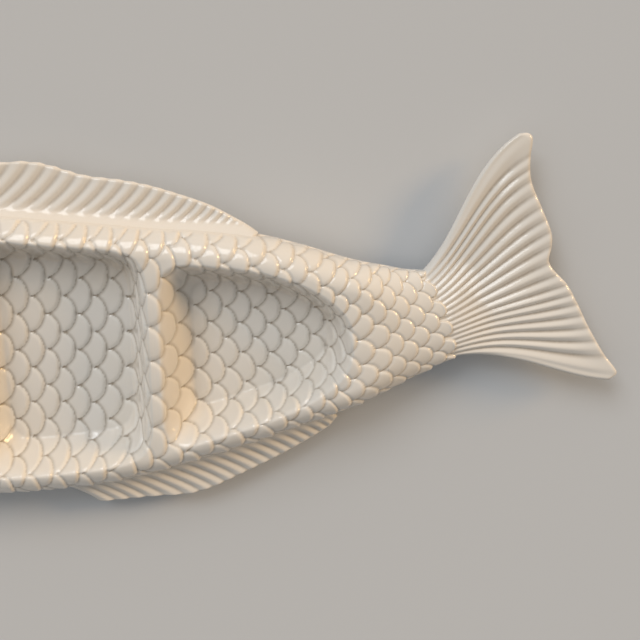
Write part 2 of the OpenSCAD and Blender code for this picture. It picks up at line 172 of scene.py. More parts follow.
# One scale, in shares of its radius: the raised lip inside its rim, the crease outside it, whose
# darker colour is partly pooled glaze and partly painted shade, and the painted highlight near its
# rim
LIP_RADIUS = 0.84
LIP_REACH = 0.13
CREASE_REACH = 0.25
CREASE_START = -0.04
HIGHLIGHT_RADIUS = 0.9
HIGHLIGHT_REACH = 0.1
# Grain of the hand carving, and how strongly the rims' creases take the darker colour, partly
# pooled glaze and partly painted shade. In the floors it is 1.
CARVING_GRAIN = 62.0
RIM_SHADE_POOLING = 0.55

# Fins
DORSAL_THICK = 6
BELLY_FIN_THICK = 5.5
FIN_TAPER = 1.5
FIN_EDGE = 2.2
FIN_TUCK = 1.0
RIB_HEIGHT = 1.25
RIB_FADE = 11
RIB_START = 0.4
RAY_BOW = 0.09
FIN_START_ROUNDING = 3
FIN_END_ROUNDING = 2.5
FIN_EDGE_SHARE = 0.1
FIN_END_THICK = 0.3
# Run of the fillet at a fin's root, as a multiple of its rise
FILLET_RUN = 1.6
# The edge's wave fades out over WAVE_RUN up to WAVE_END, in shares of the fin's ribs
WAVE_END = 0.8125
WAVE_RUN = 0.625
# Towards the ends of the rays, and on rays shorter than FULL_REACH, the ribs are lower
OUTER_RIBS = 0.7
OUTER_START = 0.7
FULL_REACH = 12
SHORT_RIBS = 0.35
# Each fin's outline from head to tail: place along the length, rise from the body's edge as
# a share of the width, and slant of the ray in degrees
DORSAL_SHARES = np.array([
    [-0.238, 0.030, 40],
    [-0.222, 0.064, 40],
    [-0.198, 0.096, 40],
    [-0.168, 0.115, 41],
    [-0.130, 0.122, 42],
    [-0.113, 0.125, 42],
    [-0.094, 0.122, 42],
    [-0.049, 0.103, 42],
    [-0.011, 0.098, 42],
    [0.030, 0.086, 42],
    [0.076, 0.063, 42],
    [0.128, 0.025, 42],
    [0.152, 0.006, 42],
])
ANAL_SHARES = np.array([
    [-0.051, 0.056, 27],
    [0, 0.058, 27],
    [0.035, 0.067, 26],
    [0.092, 0.056, 26],
    [0.152, 0.041, 26],
    [0.203, 0.027, 29],
    [0.221, 0.018, 38],
])
PELVIC_SHARES = np.array([
    [-0.262, 0.020, 38],
    [-0.246, 0.048, 34],
    [-0.222, 0.050, 30],
    [-0.204, 0.036, 28],
])
RISE, SLANT = range(1, 3)
# Each fin: its outline, number of ribs, crowding of the ribs towards the tail, side, upper
# and lower face, rise of the fillet at its root, and wave of its edge
Fin = namedtuple("Fin", "outline ribs crowding side top low fillet wave")
FINS = {
    "dorsal_fin": Fin(DORSAL_SHARES, 29, 1.5, 1, EDGE_HIGH, EDGE_HIGH - DORSAL_THICK, 4.5, 0.6),
    "anal_fin": Fin(ANAL_SHARES, 20, 1.15, -1, EDGE_LOW + BELLY_FIN_THICK, EDGE_LOW, 1.5, 0.3),
    "pelvic_fin": Fin(PELVIC_SHARES, 7, 1, -1, EDGE_LOW + BELLY_FIN_THICK, EDGE_LOW, 1.5, 0.3),
}

# Tail fin
TAIL_RIBS = 18
TAIL_RIB_HEIGHT = 1.35
# How strongly the rib valleys are darkened: partly pooled glaze, partly painted shade
TAIL_SHADE_POOLING = 0.95
TAIL_TOP = 21
TAIL_THICK = 4.5
TAIL_STEP = 1.5
TAIL_EDGE = 2.6
TAIL_TUCK = 5.5
TAIL_BLEND_SHARE = 0.35
TAIL_SIDE_SHARE = 0.02
TAIL_EDGE_SHARE = 0.05
TUCK_NARROWING = 0.08
TUCK_RISE = 0.1
# Flat border along the fan's two sides, wider from the root to halfway
TAIL_BORDER = 5
ROOT_BORDER = 2
BORDER_GAP = 1
BORDER_FULL = 0.5
# Ribs are lower at the root and at the trailing edge
ROOT_RIBS = 0.5
ROOT_RIBS_END = 0.25
TIP_RIBS = 0.45
TIP_RIBS_START = 0.8
# Trailing edge from the upper tip to the lower: share across the fan, and the place along
# and across as shares of the length and the width
TRAILING_SHARES = np.array([
    [0, 0.3925, 0.4975],
    [0.015, 0.4005, 0.4990],
    [0.03, 0.4052, 0.487],
    [0.056, 0.4042, 0.445],
    [0.167, 0.4062, 0.383],
    [0.278, 0.4170, 0.317],
    [0.389, 0.4272, 0.256],
    [0.44, 0.4290, 0.222],
    [0.5, 0.4275, 0.175],
    [0.611, 0.4455, 0.119],
    [0.722, 0.4568, 0.068],
    [0.833, 0.4690, 0.006],
    [0.944, 0.4865, -0.070],
    [0.97, 0.4970, -0.104],
    [0.985, 0.4995, -0.121],
    [1, 0.4925, -0.1375],
])
TIP_X, TIP_Y = range(1, 3)
# Rays: share across the fan, how far they bow along and across, and how far this turns over
# between root and tip, also along and across
BEND_SHARES = np.array([
    [0, -0.0099, 0.0144, 0.0315, -0.0863],
    [0.5, 0.003, 0.004, 0.012, 0],
    [1, 0.0037, 0.0299, 0.0186, 0.0962],
])
RAY_BOWS, RAY_TURNS = 1, 3

# Head. Places across it are sides from -1, belly, to 1, back, but those of the swellings are
# in millimetres.
SIDE_FADE = 0.2
GILL_STEP = 1.6
GILL_BAND = 26
GILL_ROUNDING = 3
GILL_GROOVE_GAP = 1.5
GILL_GROOVE_WIDTH = 2.2
GILL_GROOVE_DEPTH = 0.5
GILL_GROOVE_END = 0.9
CHEEK_X = GILL_X - 2.1 * GILL_BAND
CHEEK_BOW = 12
CHEEK_MIDDLE = -0.1
CHEEK_TOP = 0.62
CHEEK_LOW = -0.78
CHEEK_WIDTH = 2.4
CHEEK_DEPTH = 0.9
# Swellings of the cheek: place behind its fold, place across, half length, half width, rise
SWELLINGS = ((16, -34, 26, 34, 1.3), (-20, -44, 24, 20, 0.8))
# Mouth. Where it droops, ends and fades out is in shares of its length.
MOUTH_SIDE = -0.25
MOUTH_LENGTH = 34
MOUTH_WIDTH = 1.7
MOUTH_DEPTH = 2
MOUTH_DROOP = 5
DROOP_START = 0.75
DROOP_RUN = 0.5
MOUTH_END = 1.08
MOUTH_FADE = 0.16
LIP_WIDTH = 3
LIP_RISE = 0.9
EYE_X = -0.417 * PLATTER_LENGTH
EYE_SIDE = 0.34
EYE_DIAMETER = 17
EYE_RISE = 3
EYE_FOOT = 0.4
SOCKET_DEPTH = 3
SOCKET_GAP = 0.9
EYE_RING = 10.6
EYE_RING_WIDTH = 2.8
EYE_RING_RISE = 1.4
EYE_FOLD = EYE_RING + 4.2
EYE_FOLD_WIDTH = 1.8
EYE_FOLD_DEPTH = 0.5
PUPIL_SHARE = 0.5
PUPIL_RISE = 0.5
PUPIL_FADE = 1.6
PUPIL_RING_SHARE = 0.52
PUPIL_RING_WIDTH = 0.9
PUPIL_RING_DEPTH = 0.7
NOSTRIL_X = EYE_X - 15
NOSTRIL_SIDE = 0.42
NOSTRIL_GAP = 5.5
NOSTRIL_LEAN = 0.004
NOSTRIL_WIDTH = 1.9
NOSTRIL_DEPTH = 1.1
NOSTRIL_RIM = 2.2
NOSTRIL_RIM_WIDTH = 1.6
NOSTRIL_RIM_RISE = 0.35
# Relief depth at which the head's grooves are fully darkened, partly pooled glaze and partly
# painted shade
SHADE_POOLING_DEPTH = 1.2

# Meshes: how many points and sections each piece has, and the spacing of the body's sections
ACROSS_POINTS = 330
UNDER_POINTS = 58
WALL_POINTS = 14
TURN_POINTS = 60
TOP_SPAN_POINTS = 700
UNDER_SPAN_POINTS = 500
CORNER_STEPS = 4
FINE_POINTS = 1200
MOST_SECTIONS = 240
HEAD_SECTIONS = 190
NOSE_POINTS = 14
SPACING = 0.66
LATTICE_PLACES = 760
LATTICE_SIDES = 601
RIB_SECTIONS = 14
FIN_POINTS = 64
FIN_UNDER_STEP = 5
FIN_UNDER_LAST = 8
TAIL_RIB_SECTIONS = 17
TAIL_POINTS = 120
TAIL_UNDER_STEP = 6
TAIL_UNDER_LAST = 10
TUCK_POINTS = 9
ROUNDING_POINTS = 8
EYE_POINTS = 60
EYE_STEPS = 72
# Taken off the number of a table's entries, so that even its last place has an entry after it
LAST_ENTRY = 1.001
# Sides beyond which a point lies on the upright wall at the edge
BODY_WALL = 0.9999
HEAD_WALL = 0.999
# Least share of its thickness that a rounded edge keeps, so that no mesh closes to a line
THINNEST = 0.12
# The search for a compartment's depth: its steps, where it starts, and the least reach
HALVINGS = 22
OUTSIDE_LIP = -0.5
LEAST_REACH = 0.001

# Glaze: scales of the drift over the clay, the grain in creases, the specks, the dull
# patches and the wear of the bare clay, and how strongly each shows, and the painted highlight at
# the scales' rims
DRIFT_SCALE = 26.0
DRIFT_START = 0.42
DRIFT_END = 0.72
DRIFT_SHARE = 0.4
HIGHLIGHT_SHARE = 0.4
GRAIN_SCALE = 380.0
GRAIN_SHARE = 0.6
SPECK_SCALE = 48.0
SPECK_RADIUS = 0.022
SPECK_CORE = 0.012
SPECK_CHANCE = 0.14
SPECK_SHARE = 0.75
SPECK_PIT = 0.8
SPECK_COLOUR = (0.12, 0.09, 0.06, 1)
PATCH_SCALE = 60.0
WEAR_SCALE = 140.0

# Photo's camera: picture width and focal length in pixels, width of its sensor, tilt in
# degrees, aim, distance from there and nearest distance it shows
PHOTO_PIXELS = 640
FOCAL_PIXELS = 1000
SENSOR_WIDTH = 36
CAMERA_TILT = 16
CAMERA_AIM = (133.7, 6, 20)
CAMERA_DISTANCE = 600
CAMERA_NEAREST = 10

# Floor, in metres, and light: directions to the window and the lamp, their widths in
# degrees and strengths, and the room light with the window's glow in it
FLOOR_REACH = 4
FLOOR_COLOUR = (0.585, 0.61, 0.64, 1)
FLOOR_ROUGHNESS = 0.9
WINDOW = (-0.50, 0.95, 0.90)
WINDOW_SPREAD = 30
WINDOW_STRENGTH = 0.97
WINDOW_COLOUR = (0.95, 0.98, 1)
LAMP = (1.72, 0.9, 0.68)
LAMP_SPREAD = 16
LAMP_STRENGTH = 1.6
LAMP_COLOUR = (1, 0.64, 0.28)
ROOM_LIGHT = 0.14
ROOM_COLOUR = (1, 0.965, 0.92, 1)
WINDOW_GLOW = 0.55
GLOW_START = -0.1
BACKDROP = 0.45


def ease(t):
    c = np.clip(t, 0, 1)
    return c * c * (3 - 2 * c)


def mix(a, b, t):
    return a + (b - a) * t


def arc_rise(t):
    """Height share of a quarter round at a share of its run."""
    return np.sqrt(1 - (1 - np.clip(t, 0, 1)) ** 2)


def hump(distance, width):
    """Smooth bump of height 1 that ends at a width from its middle."""
    return ease(1 - np.abs(distance) / width)


def curve(table, x, column):
    """Smooth curve through the rows of a table, whose first column is the place."""
    x = np.asarray(x, float)
    places = table[:, 0]
    values = table[:, column]
    i = np.clip(np.searchsorted(places, x, side="right") - 1, 0, len(places) - 2)
    before = np.maximum(np.arange(len(places)) - 1, 0)
    after = np.minimum(np.arange(len(places)) + 1, len(places) - 1)
    slope = (values[after] - values[before]) / (places[after] - places[before])
    gap = places[i + 1] - places[i]
    t = np.clip((x - places[i]) / gap, 0, 1)
    bump = t * (1 - t) * gap * ((1 - t) * slope[i] - t * slope[i + 1])
    return mix(values[i], values[i + 1], ease(t)) + bump


def half_width(x):
    return curve(STATIONS, x, HALF_WIDTH)


def crest(x):
    return curve(STATIONS, x, CREST)


def plan(x, side):
    """Point of the plan at a place along the fish and a side from -1, belly, to 1, back."""
    lean = np.radians(curve(STATIONS, x, LEAN))
    half = half_width(x)
    bow = curve(STATIONS, x, BOW) * (1 - side * side)
    return (
        x - side * half * np.sin(lean) + bow,
        curve(STATIONS, x, CENTRE) + side * half * np.cos(lean),
    )


def shoulder(x):
    """Run of the shoulder, which takes in the whole section at the snout and the tail."""
    half = half_width(x)
    to_tail = (x - STOCK_X + STOCK_RIM) / (ROOT_X - STOCK_X + STOCK_RIM)
    to_snout = (GILL_X - x) / (GILL_X - SNOUT_X)
    return np.minimum(half, mix(SHOULDER_RUN, half, ease(np.maximum(to_tail, to_snout))))


def outer_z(x, side):
    """Upper face of the shell without its compartments."""
    inward = half_width(x) * (1 - np.abs(side))
    return mix(EDGE_HIGH, crest(x), arc_rise(inward / shoulder(x)))


def inner_z(x, side):
    """Lower face of the shell without its compartments."""
    inward = half_width(x) * (1 - np.abs(side)) - WALL
    run = np.maximum(shoulder(x) - WALL, WALL)
    return mix(EDGE_LOW, crest(x) - WALL, arc_rise(inward / run))


def well_depth(cell, x, side):
    """Share of the way from a compartment's lip, 0, to its floor, 1, by halving steps."""
    middle = (cell.lip_start + cell.lip_end) / 2
    reach = (cell.lip_end - cell.lip_start) / 2
    power = np.where(x < middle, cell.head_square, cell.tail_square)
    half = half_width(x)
    across = side * half

    def inside(share):
        inset = share * SLOPE_RUN
        to_back = half - cell.back_rim - inset
        to_belly = half - cell.belly_rim - inset
        long_reach = np.maximum(reach - inset, LEAST_REACH)
        cross_reach = np.maximum((to_back + to_belly) / 2, LEAST_REACH)
        off_centre = (to_back - to_belly) / 2
        along_part = (np.abs(x - middle) / long_reach) ** power
        cross_part = (np.abs(across - off_centre) / cross_reach) ** power
        return along_part + cross_part < 1

    low = np.full(np.shape(across), OUTSIDE_LIP)
    high = np.full(np.shape(across), 1.0)
    for _ in range(HALVINGS):
        share = (low + high) / 2
        deep = inside(share)
        low = np.where(deep, share, low)
        high = np.where(deep, high, share)
    return low


def cells_depth(x, side, shift=0.0):
    """Eased depth of whichever compartment a point lies in."""
    depth = [ease(well_depth(cell, x, side) + shift) for cell in CELLS]
    return np.maximum.reduce(depth)


def top_z(x, side):
    return mix(outer_z(x, side), FLOOR_Z, cells_depth(x, side))


def under_z(x, side):
    return mix(inner_z(x, side), FOOT_HEIGHT, cells_depth(x, side, BACKING / SLOPE_RUN))


def even_spread(lines, count):
    """Resamples rows of points, the last axis of each array, at even steps of arc length.
    The first two arrays measure the arc."""
    steps = np.hypot(np.diff(lines[0], axis=-1), np.diff(lines[1], axis=-1))
    arc = np.concatenate([np.zeros(steps.shape[:-1] + (1,)), np.cumsum(steps, axis=-1)], axis=-1)
    spread = []
    for line in lines:
        rows = [
            np.interp(np.linspace(0, a[-1], count), a, row)
            for a, row in zip(arc, line)
        ]
        spread.append(np.array(rows))
    return spread


def section_places(start, end, count, spacing=SPACING):
    """Places of the cross sections from start to end, close together where the floor falls."""
    x = np.linspace(start, end, FINE_POINTS)
    z = top_z(x, np.zeros_like(x))
    steps = np.hypot(np.diff(x), np.diff(z))
    arc = np.concatenate([[0], np.cumsum(steps)])
    wanted = min(count, max(2, round(arc[-1] / spacing)))
    return np.interp(np.linspace(0, arc[-1], wanted), arc, x)


def top_sections(x, height):
    """Rows of points over the top of cross sections at x, from the belly's edge to the
    back's, as sides and heights."""
    wall = np.linspace(EDGE_LOW + EDGE_ROUNDING, EDGE_HIGH, WALL_POINTS)[:-1]
    turn = np.linspace(0, np.pi / 2, TURN_POINTS)[:-1]
    inward = (shoulder(x) / half_width(x))[:, None] * (1 - np.cos(turn))
    middle = mix(inward[:, -1:] - 1, 1 - inward[:, -1:], np.linspace(0, 1, TOP_SPAN_POINTS))
    side = np.concatenate([inward - 1, middle[:, 1:-1], 1 - inward[:, ::-1]], axis=1)
    z = height(x[:, None], side)
    walls = np.repeat(wall[None, :], len(x), axis=0)
    ends = np.ones_like(walls)
    side = np.concatenate([-ends, side, ends], axis=1)
    z = np.concatenate([walls, z, walls[:, ::-1]], axis=1)
    across = side * half_width(x)[:, None]
    _, z, side = even_spread([across, z, side], ACROSS_POINTS)
    return side, z


def under_sections(x):
    """Rows of points under cross sections at x, from the belly's edge to the back's, with
    the rounded lower edges."""
    rounding = EDGE_ROUNDING / half_width(x)[:, None]
    side = mix(rounding - 1, 1 - rounding, np.linspace(0, 1, UNDER_SPAN_POINTS))
    z = under_z(x[:, None], side)
    across = side * half_width(x)[:, None]
    _, z, side = even_spread([across, z, side], UNDER_POINTS)
    turn = np.linspace(0, np.pi / 2, CORNER_STEPS + 1)[1:-1]
    corner_side = 1 - rounding * (1 - np.cos(turn))
    corner_z = EDGE_LOW + EDGE_ROUNDING * (1 - np.sin(turn))
    corner_z = np.repeat(corner_z[None, :], len(x), axis=0)
    side = np.concatenate([-corner_side, side, corner_side[:, ::-1]], axis=1)
    z = np.concatenate([corner_z, z, corner_z[:, ::-1]], axis=1)
    return side, z


def points(x, side, z):
    """Grid of points, in millimetres, from places, sides and heights."""
    across_x, across_y = plan(x[:, None], side)
    return np.stack([across_x, across_y, z], axis=-1)


def unit(vectors):
    return vectors / np.maximum(np.linalg.norm(vectors, axis=-1, keepdims=True), 1e-9)


def facing(grid):
    """Unit vectors square to a grid of points, away from the clay."""
    along = np.gradient(grid, axis=0)
    across = np.gradient(grid, axis=1)
    return unit(np.cross(along, across))


def rim_share(cell, x, across):
    """How far a place across the fish is from a compartment's rims, eased from 0 to 1."""
    half = half_width(x)[:, None]
    to_rim = np.minimum(half - cell.back_rim - across, half - cell.belly_rim + across)
    return ease(to_rim / SLOPE_RUN)


def scale_rows(x, across, centre, z):
    """Row of scales at each point, counted from the line that a row follows."""
    drop = np.gradient(z, axis=1) / np.gradient(across, axis=1)
    weight = np.where(across > 0, BACK_SLOPE_WEIGHT, SLOPE_WEIGHT)
    stretch = np.sqrt(1 + (weight * np.clip(drop, -STEEPEST, STEEPEST)) ** 2)
    arc = np.cumsum(stretch * np.gradient(across, axis=1), axis=1)
    row_line = curve(SCALES, x, ROW_LINE)[:, None] - centre
    start = np.array([np.interp(line, a, s) for line, a, s in zip(row_line, across, arc)])
    return (arc - start) / (curve(SCALES, x, SCALE_WIDTH)[:, None] / 2)


def scale_columns(x, across, centre, z):
    """Column of scales at each point, counted along the rims and over each floor."""
    rims = curve(SCALES, x, COLUMNS)
    column = np.repeat(rims[:, None], across.shape[1], axis=1)
    run = np.sqrt(1 + (SLOPE_WEIGHT * np.gradient(z, x, axis=0)) ** 2)
    for cell, ends in zip(CELLS, FLOOR_COLUMNS):
        stops = (cell.start, cell.lip_start + SLOPE_RUN, cell.lip_end - SLOPE_RUN, cell.end)
        first, last = curve(SCALES, np.array([cell.start, cell.end]), COLUMNS)
        counts = (first, *ends, last)
        deep = rim_share(cell, x, across)
        for k in range(len(stops) - 1):
            inside = (x >= stops[k]) & (x <= stops[k + 1])
            path = np.cumsum(run[inside], axis=0)
            share = (path - path[0]) / (path[-1] - path[0])
            down = mix(counts[k], counts[k + 1], share)
            column[inside] = mix(column[inside], down, deep[inside])
    off_line = across + centre - COLUMN_LINE
    lag = curve(SCALES, x, COLUMN_LEAN)[:, None] * off_line
    lag = lag + BACK_LEAN * np.maximum(off_line - BACK_LINE, 0)
    return column - lag * np.gradient(rims, x)[:, None]


def scale_lattice():
    """Places and sides of a table, with the column and row of scales at each."""
    x = np.linspace(GILL_X, ROOT_X + TIP_OVERHANG, LATTICE_PLACES)
    side = np.linspace(-1, 1, LATTICE_SIDES)
    z = top_z(x[:, None], side[None, :])
    centre = curve(STATIONS, x, CENTRE)[:, None]
    across = side[None, :] * half_width(x)[:, None]
    return x, side, scale_columns(x, across, centre, z), scale_rows(x, across, centre, z)


TABLE_X, TABLE_SIDE, TABLE_COLUMN, TABLE_ROW = scale_lattice()


def table_place(values, at):
    """Entry of an even table before each value, and the share of the way to the next."""
    place = np.clip((at - values[0]) / (values[1] - values[0]), 0, len(values) - LAST_ENTRY)
    before = place.astype(int)
    return before, place - before


def from_table(values, x, side):
    """Value of the lattice table at each point, between its rows and columns."""
    i, i_share = table_place(TABLE_X, x)
    j, j_share = table_place(TABLE_SIDE, side)
    near = mix(values[i, j], values[i, j + 1], j_share)
    far = mix(values[i + 1, j], values[i + 1, j + 1], j_share)
    return mix(near, far, i_share)


def zipped(upper, lower, upper_at, lower_at):
    """Triangles between two chains of vertices, by their places."""
    faces = []
    i = j = 0
    while i < len(upper) - 1 or j < len(lower) - 1:
        lower_done = j == len(lower) - 1
        upper_left = i < len(upper) - 1
        if lower_done or (upper_left and upper_at[i + 1] <= lower_at[j + 1]):
            faces.append((upper[i], upper[i + 1], lower[j]))
            i += 1
        else:
            faces.append((upper[i], lower[j + 1], lower[j]))
            j += 1
    return faces


def add_attribute(mesh, name, values):
    kind = "FLOAT_VECTOR" if values.ndim == 2 else "FLOAT"
    field = "vector" if values.ndim == 2 else "value"
    attribute = mesh.attributes.new(name, kind, "POINT")
    attribute.data.foreach_set(field, np.ascontiguousarray(values, dtype=np.float32).ravel())


def new_object(name, mesh):
    piece = bpy.data.objects.new(name, mesh)
    bpy.context.scene.collection.objects.link(piece)
    return piece


def shell(name, top, under, top_at, under_at, **attributes):
    """Closed mesh from an upper and a lower grid of points, one row per cross section.
    The first and last row are joined by the places of their points, which rise. Each
    attribute is a grid over the upper points, and 0 below."""
    count = len(top)
    upper, lower = top.shape[1], under.shape[1]
    ring = upper + lower
    grid = np.concatenate([top, under[:, ::-1]], axis=1)
    number = np.arange(count * ring).reshape(count, ring)
    following = np.roll(number, -1, axis=1)
    quads = np.stack([number[:-1], number[1:], following[1:], following[:-1]], axis=-1)
    faces = quads.reshape(-1, 4).tolist()
    first = zipped(number[0, :upper], number[0, upper:][::-1], top_at[0], under_at[0])
    last = zipped(number[-1, :upper], number[-1, upper:][::-1], top_at[-1], under_at[-1])
    faces += [tuple(map(int, face)) for face in first]
    faces += [tuple(map(int, face[::-1])) for face in last]
    mesh = bpy.data.meshes.new(name)
    mesh.from_pydata((grid.reshape(-1, 3) * MM).tolist(), [], faces)
    mesh.shade_smooth()
    for key, values in attributes.items():
        spare = np.zeros((count, lower) + values.shape[2:])
        full = np.concatenate([values, spare], axis=1)
        add_attribute(mesh, key, full.reshape((count * ring,) + values.shape[2:]))
    ends = np.zeros(len(mesh.edges) * 2, int)
    mesh.edges.foreach_get("vertices", ends)
    section = ends.reshape(-1, 2) // ring
    at_end = (section == 0).all(axis=1) | (section == count - 1).all(axis=1)
    sharp = mesh.attributes.new("sharp_edge", "BOOLEAN", "EDGE")
    sharp.data.foreach_set("value", at_end)
    return new_object(name, mesh)


class Nodes:
    """Places nodes in a tree and links them."""

    def __init__(self, tree):
        self.tree = tree

    def feed(self, socket, value):
        if isinstance(value, bpy.types.NodeSocket):
            self.tree.links.new(value, socket)
        else:
            socket.default_value = value

    def add(self, kind, inputs=None, **settings):
        node = self.tree.nodes.new(kind)
        for key, value in settings.items():
            setattr(node, key, value)
        for key, value in (inputs or {}).items():
            self.feed(node.inputs[key], value)
        return node

    def calculate(self, operation, *values):
        node = self.add("ShaderNodeMath", operation=operation)
        for socket, value in zip(node.inputs, values):
            self.feed(socket, value)
        return node.outputs[0]

    def eased(self, value, low, high):
        """Share of the way of a value from low to high, eased."""
        node = self.add("ShaderNodeMapRange", {0: value, 1: low, 2: high})
        node.interpolation_type = "SMOOTHSTEP"
        return node.outputs[0]

    def noise(self, place, scale, detail):
        inputs = {"Vector": place, "Scale": scale, "Detail": detail}
        return self.add("ShaderNodeTexNoise", inputs).outputs

    def blend(self, share, under, over):
        """Colour on the way from one to another."""
        node = self.add("ShaderNodeMix", {0: share, 6: under, 7: over}, data_type="RGBA")
        return node.outputs[2]

    def attribute(self, name, kind="FLOAT"):
        node = self.add("GeometryNodeInputNamedAttribute", {"Name": name}, data_type=kind)
        return node.outputs["Attribute"]


def relief_tree(name, sizes):
    """Empty geometry tree with a mesh, a finish and named sizes as its inputs."""
    tree = bpy.data.node_groups.new(name, "GeometryNodeTree")
    tree.interface.new_socket("Mesh", in_out="INPUT", socket_type="NodeSocketGeometry")
    tree.interface.new_socket("Finish", in_out="INPUT", socket_type="NodeSocketMaterial")
    for size, value in sizes.items():
        socket = tree.interface.new_socket(size, in_out="INPUT", socket_type="NodeSocketFloat")
        socket.default_value = value
    tree.interface.new_socket("Mesh", in_out="OUTPUT", socket_type="NodeSocketGeometry")
    nodes = Nodes(tree)
    return tree, nodes, nodes.add("NodeGroupInput").outputs


def end_relief(nodes, given, height, **marks):
    """Moves the mesh by a height along its lift, keeps the marks as attributes and ends the
    tree."""
    lift = nodes.attribute("lift", "FLOAT_VECTOR")
    metres = nodes.calculate("MULTIPLY", height, MM)
    offset = nodes.add("ShaderNodeVectorMath", {0: lift, "Scale": metres}, operation="SCALE")
    mesh = given["Mesh"]
    for name, value in marks.items():
        kept = nodes.add(
            "GeometryNodeStoreNamedAttribute",
            {"Geometry": mesh, "Name": name},
            data_type="FLOAT",
            domain="POINT",
        )
        nodes.feed(kept.inputs["Value"], value)
        mesh = kept.outputs[0]
    moved = nodes.add("GeometryNodeSetPosition", {"Geometry": mesh, "Offset": offset.outputs[0]})
    real = nodes.add("GeometryNodeRealizeInstances", {"Geometry": moved.outputs[0]})
    painted = nodes.add(
        "GeometryNodeSetMaterial", {"Geometry": real.outputs[0], "Material": given["Finish"]}
    )
    nodes.add("NodeGroupOutput", {0: painted.outputs[0]})


def radius_of(do, along, aside):
    """Distance of a point from the middle of a scale."""
    return do("SQRT", do("ADD", do("MULTIPLY", along, along), do("MULTIPLY", aside, aside)))


def from_middle(do, row, shift):
    """How far a row lies from the middle of the nearest scale, in a column set off by a
    shift."""
    pairs = do("DIVIDE", do("SUBTRACT", row, shift), 2.0)
    return do("MULTIPLY", do("SUBTRACT", pairs, do("ROUND", pairs)), 2.0)


def scale_face(nodes, given, row, number, along, aside):
    """Height of a scale, tilted, domed and set a little up or down by chance, and the
    chance itself."""
    do = nodes.calculate
    middle = do("ROUND", do("SUBTRACT", row, aside))
    key = nodes.add("ShaderNodeCombineXYZ", {0: number, 1: middle}).outputs[0]
    chance = nodes.add("ShaderNodeTexWhiteNoise", {"Vector": key}, noise_dimensions="2D")
    chance = chance.outputs[0]
    shift = do("MULTIPLY", do("SUBTRACT", chance, 0.5), given["Variation"])
    tilt = do("MULTIPLY", given["Rise"], along)
    dome = do("MULTIPLY", given["Dome"], do("MULTIPLY", aside, aside))
    return do("ADD", do("SUBTRACT", tilt, dome), shift), chance


def carved_lattice(nodes, given):
    """Column and row of each point, made a little uneven as if cut by hand."""
    do = nodes.calculate
    place = nodes.add("GeometryNodeInputPosition").outputs[0]
    grain = nodes.noise(place, CARVING_GRAIN, 1.0)["Color"]
    parts = nodes.add("ShaderNodeSeparateXYZ", {0: grain}).outputs
    off = [do("MULTIPLY", do("SUBTRACT", part, 0.5), given["Carving"]) for part in parts[:2]]
    return do("ADD", nodes.attribute("column"), off[0]), do("ADD", nodes.attribute("row"), off[1])


def scale_creases(nodes, ahead, near, far, covered, bare):
    """How near a point is to the rims of the two scales that overlap its own from the
    head's side."""
    do = nodes.calculate
    before = do("ADD", ahead, covered)
    aside = do("ABSOLUTE", do("ADD", do("MULTIPLY", near, bare), do("MULTIPLY", far, covered)))
    outside = do("SUBTRACT", radius_of(do, before, aside), 1.0)
    other = do("SUBTRACT", radius_of(do, before, do("SUBTRACT", 2.0, aside)), 1.0)
    nearest = nodes.eased(outside, CREASE_REACH, CREASE_START)
    return do("ADD", nearest, nodes.eased(other, CREASE_REACH, 0.0))


def scale_tree():
    """Overlapping scales with their tips towards the tail. A scale is a circle of radius 1
    in columns and rows, and every second column is set off by half a scale."""
    tree, nodes, given = relief_tree("scale_relief", {
        "Rise": 1.0, "Dome": 0.65, "Lip": 0.07, "Edge Width": 0.3, "Pit": 0.38,
        "Variation": 0.22, "Carving": 0.17, "Last Column": 1000.0, "Drop": 0.0,
    })
    do = nodes.calculate
    column, row = carved_lattice(nodes, given)
    number = do("FLOOR", column)
    ahead = do("SUBTRACT", column, number)
    odd = do("FLOORED_MODULO", number, 2.0)
    near = from_middle(do, row, odd)
    far = from_middle(do, row, do("SUBTRACT", 1.0, odd))
    upper, upper_tone = scale_face(nodes, given, row, number, ahead, near)
    number_below = do("ADD", number, 1.0)
    behind = do("SUBTRACT", ahead, 1.0)
    lower, lower_tone = scale_face(nodes, given, row, number_below, behind, far)
    radius = radius_of(do, ahead, near)
    covered = do("LESS_THAN", radius, 1.0)
    bare = do("SUBTRACT", 1.0, covered)
    inside = do("DIVIDE", do("SUBTRACT", 1.0, radius), given["Edge Width"])
    inside = do("MINIMUM", do("MAXIMUM", inside, 0.0), 1.0)
    rounded = do("MULTIPLY", inside, do("SUBTRACT", 2.0, inside))
    lip = nodes.eased(do("ABSOLUTE", do("SUBTRACT", radius, LIP_RADIUS)), LIP_REACH, 0.0)
    upper = do("ADD", upper, do("MULTIPLY", lip, given["Lip"]))
    height = do("ADD", lower, do("MULTIPLY", do("SUBTRACT", upper, lower), rounded))
    scaled = nodes.attribute("scaled")
    crease = do("MULTIPLY", scale_creases(nodes, ahead, near, far, covered, bare), scaled)
    # Painted shade with pooled glaze: the crease mark darkens the colour, less on the rims
    pooled_shade = do("MULTIPLY", crease, nodes.attribute("pooling"))
    height = do("MULTIPLY", do("SUBTRACT", height, do("MULTIPLY", crease, given["Pit"])), scaled)
    past = do("SUBTRACT", number, given["Last Column"])
    kept = do("MULTIPLY", rounded, do("LESS_THAN", past, 0.5))
    gone = do("MULTIPLY", do("GREATER_THAN", past, -0.5), do("SUBTRACT", 1.0, kept))
    height = do("SUBTRACT", height, do("MULTIPLY", gone, given["Drop"]))
    # Painted highlight: a thin lighter line just inside each scale's rim
    edge = nodes.eased(do("ABSOLUTE", do("SUBTRACT", radius, HIGHLIGHT_RADIUS)), HIGHLIGHT_REACH, 0.0)
    edge = do("MULTIPLY", do("MULTIPLY", edge, covered), scaled)
    tone = do("ADD", do("MULTIPLY", upper_tone, covered), do("MULTIPLY", lower_tone, bare))
    end_relief(nodes, given, height, crease=pooled_shade, edge=edge, tone=tone)
    return tree


